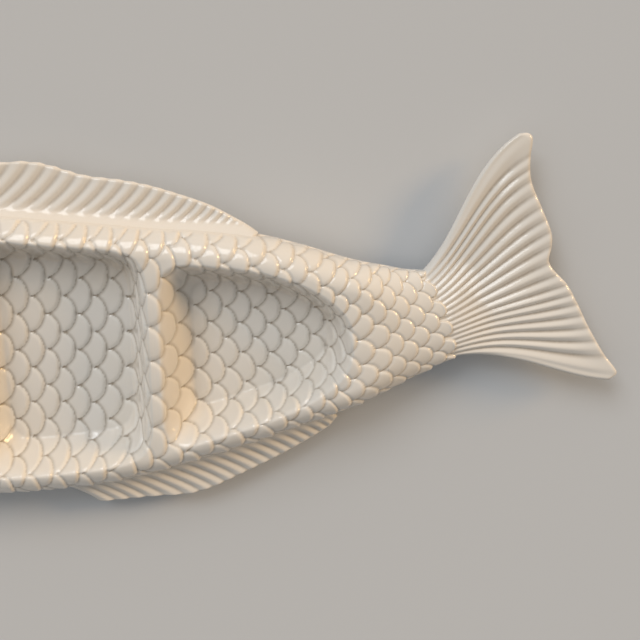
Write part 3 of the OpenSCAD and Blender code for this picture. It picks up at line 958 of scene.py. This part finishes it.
def rib_tree():
    """Soft rounded ribs, one for each whole phase, with darker valleys, partly pooled glaze and
    partly painted shade.
    """
    tree, nodes, given = relief_tree("rib_relief", {
        "Depth": RIB_HEIGHT, "Sharpness": 0.2, "Pooling": 0.6, "Shade Pool Start": 0.55,
    })
    do = nodes.calculate
    share = do("FRACT", nodes.attribute("phase"))
    from_crest = do("ABSOLUTE", do("SUBTRACT", do("MULTIPLY", share, 2.0), 1.0))
    wave = nodes.eased(from_crest, 0.0, 1.0)
    steep = do("POWER", from_crest, 3.0)
    profile = do("ADD", wave, do("MULTIPLY", do("SUBTRACT", steep, wave), given["Sharpness"]))
    strength = nodes.attribute("ribbed")
    depth = do("MULTIPLY", do("MULTIPLY", profile, strength), given["Depth"])
    # Painted shade in the rib valleys, partly pooled glaze too
    valley = nodes.eased(from_crest, given["Shade Pool Start"], 1.0)
    crease = do("MULTIPLY", do("MULTIPLY", valley, strength), given["Pooling"])
    end_relief(nodes, given, do("MULTIPLY", depth, -1.0), crease=crease)
    return tree


def carve(piece, tree, finish, **sizes):
    """Runs a relief tree on a piece and leaves a plain mesh."""
    modifier = piece.modifiers.new("relief", "NODES")
    modifier.node_group = tree
    wanted = {"Finish": finish}
    wanted.update({key.replace("_", " ").title(): value for key, value in sizes.items()})
    for item in tree.interface.items_tree:
        if item.in_out == "INPUT" and item.name in wanted:
            modifier[item.identifier] = wanted[item.name]
    graph = bpy.context.evaluated_depsgraph_get()
    made = bpy.data.meshes.new_from_object(piece.evaluated_get(graph))
    piece.modifiers.remove(modifier)
    made.name = piece.name
    piece.data = made
    for name in ("lift", "column", "row", "scaled", "pooling", "phase", "ribbed"):
        if name in made.attributes:
            made.attributes.remove(made.attributes[name])
    if not made.materials:
        made.materials.append(finish)
    return piece


def body_skin(name, start, end, beyond=0.0, spacing=SPACING):
    """Scaled part of the body between two places, with its floor, rim and underside."""
    x = section_places(start, end, MOST_SECTIONS, spacing)
    if beyond:
        steps = max(2, round(beyond / spacing))
        x = np.concatenate([x, np.linspace(end, end + beyond, steps)[1:]])
    ghost = np.concatenate([[2 * x[0] - x[1]], x, [2 * x[-1] - x[-2]]])
    side, z = top_sections(ghost, top_z)
    top = points(ghost, side, z)
    lift = facing(top)[1:-1]
    side, z, top = side[1:-1], z[1:-1], top[1:-1]
    under_side, under_height = under_sections(x)
    under = points(x, under_side, under_height)
    places = np.repeat(x[:, None], side.shape[1], axis=1)
    wall = np.where(np.abs(side) > BODY_WALL, EDGE_HIGH - z, 0)
    column = from_table(TABLE_COLUMN, places, side)
    row = from_table(TABLE_ROW, places, side)
    row = row + np.sign(side) * wall * 2 / curve(SCALES, places, SCALE_WIDTH)
    scaled = scaled_part(places, side, wall)
    # Strength of the creases' darker colour, partly pooled glaze and partly painted shade: full in
    # the floors, less on the rims
    pooling = mix(RIM_SHADE_POOLING, 1, cells_depth(places, side))
    return shell(
        name, top, under, side, under_side,
        lift=lift, column=column, row=row, scaled=scaled, pooling=pooling,
    )


def scaled_part(x, side, wall):
    """How far scales are carved at each point: not beside the fins nor at the lower edge.
    The wall is how far down the upright edge a point lies."""
    inward = half_width(x) * (1 - np.abs(side))
    scaled = ease((EDGE_HIGH - EDGE_LOW - EDGE_ROUNDING - EDGE_MARGIN - wall) / EDGE_FADE)
    for fin in FINS.values():
        first, last = fin.outline[[0, -1], 0] * PLATTER_LENGTH
        past_first = ease((x - first + FIN_MARGIN) / FIN_MARGIN)
        before_last = ease((last + FIN_MARGIN - x) / FIN_MARGIN)
        beside = past_first * before_last * (side * fin.side > 0)
        if fin.side > 0:
            clear = ease((inward - DORSAL_GAP) / DORSAL_FADE)
        else:
            clear = ease((BELLY_GAP - wall) / EDGE_FADE)
        scaled = scaled * mix(1, clear, beside)
    return scaled


def distance_from(x, side, at_x, at_side):
    px, py = plan(x, side)
    cx, cy = plan(np.array(at_x), np.array(at_side))
    return np.hypot(px - cx, py - cy)


def gill_relief(x, side):
    """Raised band of the gill cover, rounded at its end, and the groove before it."""
    past = x - GILL_X + GILL_BAND
    rise = GILL_STEP * ease(past / (GILL_BAND / 4))
    rise = rise - GILL_STEP * (1 - arc_rise((GILL_X - x) / GILL_ROUNDING))
    groove = hump(past + GILL_GROOVE_GAP, GILL_GROOVE_WIDTH)
    return rise - GILL_GROOVE_DEPTH * groove * ease((GILL_GROOVE_END - np.abs(side)) / SIDE_FADE)


def cheek_relief(x, y, side):
    """Bowed fold of the cheek and the soft swellings round it."""
    fold_x = CHEEK_X + CHEEK_BOW * (side - CHEEK_MIDDLE) ** 2
    reach = ease((CHEEK_TOP - side) / SIDE_FADE) * ease((side - CHEEK_LOW) / SIDE_FADE)
    rise = -CHEEK_DEPTH * hump(x - fold_x, CHEEK_WIDTH) * reach
    for behind, across, half_length, half_across, height in SWELLINGS:
        away = np.hypot((x - fold_x - behind) / half_length, (y - across) / half_across)
        rise = rise + height * ease(1 - away)
    return rise


def mouth_relief(x, y, side):
    """Closed mouth between two lips, which droops towards its corner."""
    mouth_y = plan(x, np.full(np.shape(side), MOUTH_SIDE))[1]
    past = (x - SNOUT_X) / MOUTH_LENGTH
    off_line = y - mouth_y + MOUTH_DROOP * ease((past - DROOP_START) / DROOP_RUN)
    lips = LIP_RISE * hump(np.abs(off_line) - LIP_WIDTH, LIP_WIDTH)
    slit = MOUTH_DEPTH * hump(off_line, MOUTH_WIDTH)
    return (lips - slit) * ease((MOUTH_END - past) / MOUTH_FADE)


def nostril_relief(x, side):
    """Two nostrils before the eye, each a pit with a low rim."""
    rise = 0
    for gap in (0, NOSTRIL_GAP):
        away = distance_from(x, side, NOSTRIL_X - gap, NOSTRIL_SIDE - gap * NOSTRIL_LEAN)
        rise = rise - NOSTRIL_DEPTH * hump(away, NOSTRIL_WIDTH)
        rise = rise + NOSTRIL_RIM_RISE * hump(away - NOSTRIL_RIM, NOSTRIL_RIM_WIDTH)
    return rise


def head_relief(x, side):
    """Rise of the head's relief: gill cover, cheek, mouth, nostrils and eye socket."""
    flat_x, flat_y = plan(x, side)
    rise = gill_relief(x, side) + cheek_relief(flat_x, flat_y, side)
    rise = rise + mouth_relief(x, flat_y, side) + nostril_relief(x, side)
    eye = distance_from(x, side, EYE_X, EYE_SIDE)
    rise = rise + EYE_RING_RISE * hump(eye - EYE_RING, EYE_RING_WIDTH)
    rise = rise - EYE_FOLD_DEPTH * hump(eye - EYE_FOLD, EYE_FOLD_WIDTH)
    inside = ease((EYE_DIAMETER / 2 + SOCKET_GAP - eye) / SOCKET_GAP)
    return rise - (SOCKET_DEPTH + rise) * inside


def make_head(finish):
    """Head with its rounded snout. Its grooves take the darker crease colour, partly pooled glaze
    and partly painted shade.
    """
    start, end = SNOUT_X, GILL_X
    x = section_places(start, end, HEAD_SECTIONS)
    nose = np.linspace(0, 1, NOSE_POINTS)[1:-1]
    x = np.unique(np.concatenate([start + NOSE_ROUNDING * nose ** 2, x]))

    def height(places, side):
        return outer_z(places, side) + head_relief(places, side)

    side, z = top_sections(x, height)
    under_side, under_height = under_sections(x)
    top = points(x, side, z)
    under = points(x, under_side, under_height)
    full = np.maximum(arc_rise((x - start) / NOSE_ROUNDING), THINNEST)[:, None]
    centre = curve(STATIONS, x, CENTRE)[:, None]
    for grid in (top, under):
        grid[..., 0] -= SEAM
        grid[..., 1] = mix(centre, grid[..., 1], full)
        grid[..., 2] = mix(NOSE_HEIGHT, grid[..., 2], full)
    places = np.repeat(x[:, None], side.shape[1], axis=1)
    # Painted shade in the head's grooves, deeper ones darker, partly pooled glaze too
    groove_shade = np.clip(-head_relief(places, side) / SHADE_POOLING_DEPTH, 0, 1)
    groove_shade = groove_shade * (np.abs(side) < HEAD_WALL)
    head = shell("head_casting", top, under, side, under_side, crease=groove_shade)
    head.data.materials.append(finish)
    return head


def turned(name, profile, steps, centre, finish):
    """Closed solid turned about an upright axis, from [radius, height] points that start
    and end on the axis."""
    inner = profile[1:-1]
    turn = np.linspace(0, 2 * np.pi, steps, endpoint=False)
    rings = [
        np.stack([r * np.cos(turn), r * np.sin(turn), np.full(steps, z)], axis=1)
        for r, z in inner
    ]
    tips = [[0, 0, profile[0][1]], [0, 0, profile[-1][1]]]
    verts = np.concatenate(rings + [tips]) + centre
    number = np.arange(len(inner) * steps).reshape(len(inner), steps)
    following = np.roll(number, -1, axis=1)
    quads = np.stack([number[:-1], following[:-1], following[1:], number[1:]], axis=-1)
    faces = quads.reshape(-1, 4).tolist()
    low, high = len(inner) * steps, len(inner) * steps + 1
    faces += [(int(b), int(a), low) for a, b in zip(number[0], following[0])]
    faces += [(int(a), int(b), high) for a, b in zip(number[-1], following[-1])]
    mesh = bpy.data.meshes.new(name)
    mesh.from_pydata((verts * MM).tolist(), [], faces)
    mesh.shade_smooth()
    mesh.materials.append(finish)
    return new_object(name, mesh)


def make_eye(finish):
    """Domed eye with an incised ring round its pupil."""
    radius = EYE_DIAMETER / 2
    dome = (radius ** 2 + EYE_RISE ** 2) / (2 * EYE_RISE)
    at = np.array(EYE_X), np.array(EYE_SIDE)
    seat_z = float(outer_z(*at)) - SOCKET_DEPTH
    flat_x, flat_y = plan(*at)
    out = np.linspace(radius, 0, EYE_POINTS)
    ring = PUPIL_RING_DEPTH * hump(out - radius * PUPIL_RING_SHARE, PUPIL_RING_WIDTH)
    pupil = PUPIL_RISE * ease((radius * PUPIL_SHARE - out) / PUPIL_FADE)
    lid = SOCKET_DEPTH + EYE_RISE - dome + np.sqrt(dome ** 2 - out ** 2) - (ring - pupil)
    profile = [[0, 0], [radius - EYE_FOOT, 0], [radius, EYE_FOOT]]
    profile += [[float(r), float(z)] for r, z in zip(out, lid)]
    middle = np.array([float(flat_x) - SEAM, float(flat_y), seat_z])
    return turned("eye_dome", profile, EYE_STEPS, middle, finish)


def rounded_shares(count, near_start, near_end):
    """Shares from 0 to 1 whose steps shrink over a rounded start and end."""
    turn = np.linspace(0, np.pi / 2, ROUNDING_POINTS)
    parts = [np.linspace(near_start, 1 - near_end, count)]
    if near_start:
        parts.insert(0, near_start * (1 - np.cos(turn))[:-1])
    if near_end:
        parts.append((1 - near_end * (1 - np.sin(turn)))[1:])
    return np.concatenate(parts)


def fewer_points(count, step, last):
    """Numbers of the points that are kept below: every few, and all of the last ones."""
    return np.concatenate([np.arange(0, count - last, step), np.arange(count - last, count)])


def ribbed_plate(name, top, under, along, kept, order, phase, ribbed):
    """Closed plate with ribs along its rays and only the kept points below. An order of -1
    turns the rays round, so that the faces still point outwards."""
    turned_round = slice(None, None, order)
    at = (order * along)[turned_round]
    under_at = (order * along[kept])[turned_round]
    lift = np.zeros(top.shape) + [0, 0, 1]
    return shell(
        name, top[:, turned_round], under[:, kept][:, turned_round], (at, at),
        (under_at, under_at), lift=lift, phase=phase[:, turned_round],
        ribbed=ribbed[:, turned_round],
    )


def fin_rays(fin):
    """Roots of a fin's rays, the way from each to its tip, the ribs up to it, and how far it
    is from the fin's ends."""
    first, last = fin.outline[[0, -1], 0] * PLATTER_LENGTH
    length = last - first
    count = fin.ribs * RIB_SECTIONS
    share = rounded_shares(count, FIN_START_ROUNDING / length, FIN_END_ROUNDING / length)
    phase = share * fin.ribs
    foot = mix(last, first, (1 - share) ** fin.crowding)
    place = foot / PLATTER_LENGTH
    wavy = fin.wave * (1 - np.abs(2 * (phase % 1) - 1)) * ease((WAVE_END - share) / WAVE_RUN)
    rise = curve(fin.outline, place, RISE) * PLATTER_WIDTH + wavy
    slant = np.radians(curve(fin.outline, place, SLANT))
    ray = np.stack([rise / np.tan(slant), fin.side * rise], axis=1)
    root = np.stack(plan(foot, np.full(len(foot), float(fin.side))), axis=1)
    to_end = np.minimum(foot - first, last - foot)[:, None] * np.sin(slant)[:, None]
    return root, ray, phase, to_end


def fin_faces(fin, root, ray, along, reach, edge):
    """Upper and lower grid of a fin, thick over the fillet at its root and round at its
    edge."""
    fillet = fin.fillet * (1 - np.clip(along * reach / (FILLET_RUN * fin.fillet), 0, 1)) ** 2
    upper = fin.top - FIN_TAPER * along + fillet
    middle = (upper + fin.low) / 2
    thick = (upper - fin.low) / 2 * edge
    bow = RAY_BOW * 4 * (along * (1 - along)) * reach
    x = root[:, :1] + ray[:, :1] * along + bow
    y = root[:, 1:] + ray[:, 1:] * along - fin.side * FIN_TUCK * (1 - along) ** 4
    return [np.stack([x, y, z], axis=-1) for z in (middle + thick, middle - thick)]


def make_fin(name, tree, finish):
    """Ribbed fin on the body's edge. Its rays lean towards the tail."""
    fin = FINS[name]
    root, ray, phase, to_end = fin_rays(fin)
    along = rounded_shares(FIN_POINTS, 0, FIN_EDGE_SHARE)
    reach = np.linalg.norm(ray, axis=1)[:, None]
    out = along * reach
    edge = arc_rise((reach - out) / FIN_EDGE) * arc_rise((to_end + FIN_END_THICK) / FIN_EDGE)
    edge = np.maximum(edge, THINNEST)
    top, under = fin_faces(fin, root, ray, along, reach, edge)
    outer = mix(1, OUTER_RIBS, ease((along - OUTER_START) / (1 - OUTER_START)))
    fade = ease((out - RIB_START * fin.fillet) / RIB_FADE) * outer
    ribbed = fade * edge * np.clip(reach / FULL_REACH, SHORT_RIBS, 1)
    kept = fewer_points(len(along), FIN_UNDER_STEP, FIN_UNDER_LAST)
    phase = np.repeat(phase[:, None], len(along), axis=1)
    piece = ribbed_plate(name + "_casting", top, under, along, kept, fin.side, phase, ribbed)
    return carve(piece, tree, finish, depth=RIB_HEIGHT)


def fan_bow(across, column):
    return np.stack([
        curve(BEND_SHARES, across, column) * PLATTER_LENGTH,
        curve(BEND_SHARES, across, column + 1) * PLATTER_WIDTH,
    ], axis=-1)


def stock_side(across, tuck):
    """Side of the tail stock at a share across the fan, a little inward where the fan is
    tucked under the last scales."""
    return (1 - 2 * across) * (1 - TUCK_NARROWING * ease(2 * tuck))


def fan(across, along):
    """Point of the tail fin at a share across the fan and a share along the ray. Shares
    below 0 lie under the last scales of the stock."""
    tuck = np.maximum(-along, 0)
    root = np.stack(plan(ROOT_X + SEAM - TAIL_TUCK * tuck, stock_side(across, tuck)), axis=-1)
    tip = np.stack([
        curve(TRAILING_SHARES, across, TIP_X) * PLATTER_LENGTH,
        curve(TRAILING_SHARES, across, TIP_Y) * PLATTER_WIDTH,
    ], axis=-1)
    t = np.maximum(along, 0)[..., None]
    bow = 2 * fan_bow(across, RAY_BOWS) + (1 - 2 * t) * fan_bow(across, RAY_TURNS)
    return mix(root, tip, t) + t * (1 - t) * bow


def path_along(grid, axis):
    """Length of the path over a grid from its first row or column to each point."""
    steps = np.linalg.norm(np.diff(grid, axis=axis), axis=2)
    return np.insert(np.cumsum(steps, axis=axis), 0, 0, axis=axis)


def tail_heights(across, along):
    """Middle height and half thickness of the tail fin before its edge is rounded."""
    tuck = np.maximum(-along, 0)
    side = stock_side(across, tuck)
    root_x = ROOT_X - TAIL_TUCK * tuck
    flat = ease(along / TAIL_BLEND_SHARE)
    upper = mix(outer_z(root_x, side) - TAIL_STEP, TAIL_TOP, flat)
    low = mix(inner_z(root_x, side) + TUCK_RISE * TAIL_TUCK * tuck, TAIL_TOP - TAIL_THICK, flat)
    return (upper + low) / 2, (upper - low) / 2


def make_tail(tree, finish):
    """Forked tail fin, a fan of ribs that follow bowed rays from the stock to its edge."""
    sections = TAIL_RIBS * TAIL_RIB_SECTIONS
    across = rounded_shares(sections, TAIL_SIDE_SHARE, TAIL_SIDE_SHARE)[::-1]
    tucked = np.linspace(-1, 0, TUCK_POINTS)[:-1]
    along = np.concatenate([tucked, rounded_shares(TAIL_POINTS, 0, TAIL_EDGE_SHARE)])
    a, t = np.meshgrid(across, along, indexing="ij")
    flat = fan(a, t)
    path = path_along(flat, 1)
    wide = path_along(flat, 0)
    to_edge = path[:, -1:] - path
    to_side = np.minimum(wide, wide[-1:] - wide)
    edge = np.maximum(arc_rise(to_edge / TAIL_EDGE) * arc_rise(to_side / TAIL_EDGE), THINNEST)
    middle, thick = tail_heights(a, t)
    top, under = [
        np.concatenate([flat, z[..., None]], axis=-1)
        for z in (middle + thick * edge, middle - thick * edge)
    ]
    at_tip = ease((t - TIP_RIBS_START) / (1 - TIP_RIBS_START))
    strength = mix(ROOT_RIBS, 1, ease(t / ROOT_RIBS_END)) * mix(1, TIP_RIBS, at_tip) * edge
    border = mix(ROOT_BORDER, TAIL_BORDER, ease(t / BORDER_FULL))
    ribbed = strength * ease((to_side - BORDER_GAP) / border)
    kept = fewer_points(len(along), TAIL_UNDER_STEP, TAIL_UNDER_LAST)
    name = "tail_fin_casting"
    piece = ribbed_plate(name, top, under, along, kept, -1, a * TAIL_RIBS, ribbed)
    return carve(piece, tree, finish, depth=TAIL_RIB_HEIGHT, pooling=TAIL_SHADE_POOLING)


def shader_group(name, inputs, outputs):
    """Empty shader group with named inputs, each a [kind, value], and outputs."""
    group = bpy.data.node_groups.new(name, "ShaderNodeTree")
    for key, (kind, value) in inputs.items():
        socket = group.interface.new_socket(key, in_out="INPUT", socket_type=kind)
        if value is not None:
            socket.default_value = value
    for key, kind in outputs.items():
        group.interface.new_socket(key, in_out="OUTPUT", socket_type=kind)
    nodes = Nodes(group)
    return group, nodes, nodes.add("NodeGroupInput").outputs


def glaze_colour_and_painted_light_group():
    """Colour of a glaze that drifts over the clay and has a few dark specks, darker in creases,
    partly pooled glaze and partly painted shade, and with a painted highlight along the scales'
    rims. The bare clay is coloured by it too."""
    group, nodes, given = shader_group(
        "glaze_colour_and_painted_light",
        {
            "Place": ("NodeSocketVector", None),
            "Crease": ("NodeSocketFloat", 0.0),
            "Edge": ("NodeSocketFloat", 0.0),
            "Tone": ("NodeSocketFloat", 0.5),
            "Glaze": ("NodeSocketColor", (0.8, 0.77, 0.7, 1)),
            "Pooled Shade And Wear": ("NodeSocketColor", (0.4, 0.35, 0.28, 1)),
            "Warm Clay": ("NodeSocketColor", (0.8, 0.72, 0.6, 1)),
            "Painted Highlight": ("NodeSocketColor", (0.85, 0.82, 0.76, 1)),
            "Depth": ("NodeSocketFloat", 0.6),
        },
        {"Color": "NodeSocketColor", "Speck": "NodeSocketFloat"},
    )
    do = nodes.calculate
    place = given["Place"]
    warm = nodes.eased(nodes.noise(place, DRIFT_SCALE, 3.0)["Fac"], DRIFT_START, DRIFT_END)
    tone = do("MULTIPLY", given["Tone"], DRIFT_SHARE)
    uneven = do("ADD", do("MULTIPLY", warm, DRIFT_SHARE), tone)
    colour = nodes.blend(uneven, given["Glaze"], given["Warm Clay"])
    # Painted highlight: lighter colour along the scales' rims
    colour = nodes.blend(do("MULTIPLY", given["Edge"], HIGHLIGHT_SHARE), colour, given["Painted Highlight"])
    # Darker colour in creases, partly pooled glaze and partly painted shade; on the bare clay the
    # same input marks wear
    grain = do("MULTIPLY", nodes.noise(place, GRAIN_SCALE, 2.0)["Fac"], GRAIN_SHARE)
    ragged = do("MULTIPLY", given["Crease"], do("ADD", grain, 1 - GRAIN_SHARE / 2))
    colour = nodes.blend(do("MULTIPLY", ragged, given["Depth"]), colour, given["Pooled Shade And Wear"])
    cells = nodes.add("ShaderNodeTexVoronoi", {"Vector": place, "Scale": SPECK_SCALE}).outputs
    chance = nodes.add("ShaderNodeSeparateColor", {0: cells["Color"]}).outputs[0]
    dot = nodes.eased(cells["Distance"], SPECK_RADIUS, SPECK_CORE)
    speck = do("MULTIPLY", dot, do("GREATER_THAN", chance, 1 - SPECK_CHANCE))
    colour = nodes.blend(do("MULTIPLY", speck, SPECK_SHARE), colour, SPECK_COLOUR)
    nodes.add("NodeGroupOutput", {"Color": colour, "Speck": speck})
    return group


def glassy_skin_group():
    """Roughness and height of a fired surface: faint orange peel, dull patches and pinholes."""
    group, nodes, given = shader_group(
        "glassy_skin",
        {
            "Place": ("NodeSocketVector", None),
            "Speck": ("NodeSocketFloat", 0.0),
            "Gloss Low": ("NodeSocketFloat", 0.1),
            "Gloss High": ("NodeSocketFloat", 0.2),
            "Peel Scale": ("NodeSocketFloat", 260.0),
        },
        {"Roughness": "NodeSocketFloat", "Height": "NodeSocketFloat"},
    )
    do = nodes.calculate
    patch = nodes.noise(given["Place"], PATCH_SCALE, 2.0)["Fac"]
    spread = do("SUBTRACT", given["Gloss High"], given["Gloss Low"])
    rough = do("ADD", given["Gloss Low"], do("MULTIPLY", patch, spread))
    peel = nodes.noise(given["Place"], given["Peel Scale"], 2.0)["Fac"]
    height = do("SUBTRACT", peel, do("MULTIPLY", given["Speck"], SPECK_PIT))
    nodes.add("NodeGroupOutput", {"Roughness": rough, "Height": height})
    return group


def set_constants(shader, values):
    for socket, value in values.items():
        shader.inputs[socket].default_value = value


def fired_surface(name, groups, colours, skin, bump):
    """Material from the two shared groups. Returns what it takes to finish it."""
    material = bpy.data.materials.new(name)
    material.use_nodes = True
    nodes = Nodes(material.node_tree)
    shader = material.node_tree.nodes["Principled BSDF"]
    place = nodes.add("ShaderNodeTexCoord").outputs["Object"]
    colour = nodes.add(
        "ShaderNodeGroup", {"Place": place, **colours}, node_tree=groups["glaze_colour_and_painted_light"]
    )
    skin = nodes.add(
        "ShaderNodeGroup", {"Place": place, "Speck": colour.outputs["Speck"], **skin},
        node_tree=groups["glassy_skin"],
    )
    bump = nodes.add("ShaderNodeBump", {"Height": skin.outputs["Height"], **bump})
    nodes.feed(shader.inputs["Base Color"], colour.outputs["Color"])
    nodes.feed(shader.inputs["Roughness"], skin.outputs["Roughness"])
    nodes.feed(shader.inputs["Normal"], bump.outputs[0])
    return material, nodes, shader, colour, place


def white_glaze(groups):
    """Glossy warm white glaze over earthenware."""
    material, nodes, shader, colour, _ = fired_surface(
        "white_glaze",
        groups,
        {
            "Glaze": (0.76, 0.735, 0.695, 1),
            # The darker crease colour is partly pooled glaze and partly painted shade; the lighter
            # rim colour is a painted highlight
            "Pooled Shade And Wear": (0.36, 0.31, 0.25, 1),
            "Warm Clay": (0.76, 0.71, 0.635, 1),
            "Painted Highlight": (0.84, 0.82, 0.78, 1),
            "Depth": 0.75,
        },
        {"Gloss Low": 0.09, "Gloss High": 0.2, "Peel Scale": 210.0},
        {"Strength": 0.12, "Distance": 0.4 * MM},
    )
    for mark in ("Crease", "Edge", "Tone"):
        node = nodes.add("ShaderNodeAttribute", attribute_name=mark.lower())
        nodes.feed(colour.inputs[mark], node.outputs["Fac"])
    set_constants(shader, {
        "Specular IOR Level": 0.42, "Coat Weight": 0.3, "Coat Roughness": 0.05,
    })
    return material


def bare_clay(groups):
    """Dry, unglazed foot ring, darkened by handling and standing."""
    material, nodes, _, colour, place = fired_surface(
        "bare_clay",
        groups,
        {
            "Glaze": (0.66, 0.55, 0.42, 1),
            "Pooled Shade And Wear": (0.34, 0.25, 0.17, 1),
            "Warm Clay": (0.62, 0.46, 0.32, 1),
            "Depth": 0.5,
        },
        {"Gloss Low": 0.7, "Gloss High": 0.92, "Peel Scale": 1400.0},
        {"Strength": 0.5, "Distance": 0.3 * MM},
    )
    worn = nodes.noise(place, WEAR_SCALE, 6.0)["Fac"]
    nodes.feed(colour.inputs["Crease"], nodes.eased(worn, 0.5, 0.75))
    return material


def seat(piece, slot, *nodes):
    """Lets a piece ride on the platter and stand for its solids."""
    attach(piece, "root")
    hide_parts(*nodes)


def make_platter(glaze, clay):
    """All pieces. The foot rings keep the solids' own meshes."""
    scales, ribs = scale_tree(), rib_tree()
    blocks = {
        "front_compartment": (GILL_X, FRONT_RIDGE_X),
        "middle_compartment": (FRONT_RIDGE_X, REAR_RIDGE_X),
        "rear_compartment": (REAR_RIDGE_X, STOCK_X),
    }
    for node, (start, end) in blocks.items():
        skin = body_skin(node + "_casting", start, end)
        seat(carve(skin, scales, glaze), "glaze", node)
    stock = body_skin("tail_stock_casting", STOCK_X, ROOT_X, TIP_OVERHANG, SPACING / 2)
    last = float(LAST_COLUMN)
    carve(stock, scales, glaze, last_column=last, drop=SCALE_DROP, rise=STOCK_SCALE_RISE)
    seat(stock, "glaze", "tail_stock")
    seat(make_tail(ribs, glaze), "glaze", "tail_fin")
    for node in FINS:
        seat(make_fin(node, ribs, glaze), "glaze", node)
    seat(make_head(glaze), "glaze", "head")
    seat(make_eye(glaze), "glaze", "eye")
    for node in ("front_foot_ring", "middle_foot_ring", "rear_foot_ring"):
        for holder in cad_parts[node].material_slots:
            holder.material = clay


def make_camera():
    """Camera above the rear half of the platter, tilted towards the belly."""
    tilt = math.radians(CAMERA_TILT)
    aim = Vector(CAMERA_AIM) * MM
    data = bpy.data.cameras.new("photo_view")
    data.sensor_width = SENSOR_WIDTH
    data.lens = SENSOR_WIDTH * FOCAL_PIXELS / PHOTO_PIXELS
    data.clip_start = CAMERA_NEAREST * MM
    camera = bpy.data.objects.new("photo_view", data)
    bpy.context.scene.collection.objects.link(camera)
    camera.location = aim + CAMERA_DISTANCE * MM * Vector((0, math.sin(tilt), math.cos(tilt)))
    camera.rotation_euler = (-tilt, 0, 0)
    bpy.context.scene.camera = camera


def make_floor():
    """Plain pale floor."""
    mesh = bpy.data.meshes.new("pale_floor")
    ends = (-FLOOR_REACH, FLOOR_REACH)
    mesh.from_pydata([(x, y, 0) for y in ends for x in ends], [], [(0, 1, 3, 2)])
    floor = new_object("pale_floor", mesh)
    material = bpy.data.materials.new("pale_floor")
    material.use_nodes = True
    shader = material.node_tree.nodes["Principled BSDF"]
    set_constants(shader, {"Base Color": FLOOR_COLOUR, "Roughness": FLOOR_ROUGHNESS})
    mesh.materials.append(material)


def make_lamp(name, place, spread, strength, colour):
    """Far soft light, seen from the platter as a disc of the given width in degrees."""
    data = bpy.data.lights.new(name, "SUN")
    data.angle = math.radians(spread)
    data.energy = strength
    data.color = colour
    lamp = bpy.data.objects.new(name, data)
    bpy.context.scene.collection.objects.link(lamp)
    lamp.location = place
    lamp.rotation_euler = Vector(place).to_track_quat("Z", "Y").to_euler()


def make_room():
    """Room light, stronger from the window's side, and a plain pale backdrop."""
    world = bpy.data.worlds.new("room")
    bpy.context.scene.world = world
    world.use_nodes = True
    nodes = Nodes(world.node_tree)
    background = world.node_tree.nodes["Background"]
    looking = nodes.add("ShaderNodeTexCoord").outputs["Generated"]
    side = Vector(WINDOW).normalized()
    towards = nodes.add("ShaderNodeVectorMath", {0: looking, 1: side}, operation="DOT_PRODUCT")
    glow = nodes.eased(towards.outputs["Value"], GLOW_START, 1.0)
    light = nodes.calculate("MULTIPLY_ADD", glow, WINDOW_GLOW, ROOM_LIGHT)
    seen = nodes.add("ShaderNodeLightPath").outputs["Is Camera Ray"]
    strength = nodes.add("ShaderNodeMix", {"Factor": seen, "A": light, "B": BACKDROP})
    set_constants(background, {"Color": ROOM_COLOUR})
    nodes.feed(background.inputs["Strength"], strength.outputs["Result"])


def make_light():
    """Daylight from the upper left and a warm lamp from the upper right."""
    make_lamp("window", WINDOW, WINDOW_SPREAD, WINDOW_STRENGTH, WINDOW_COLOUR)
    make_lamp("lamp", LAMP, LAMP_SPREAD, LAMP_STRENGTH, LAMP_COLOUR)
    make_room()
    bpy.context.scene.view_settings.view_transform = "Standard"


make_camera()
make_floor()
make_light()
effects = {"glaze_colour_and_painted_light": glaze_colour_and_painted_light_group(), "glassy_skin": glassy_skin_group()}
make_platter(white_glaze(effects), bare_clay(effects))
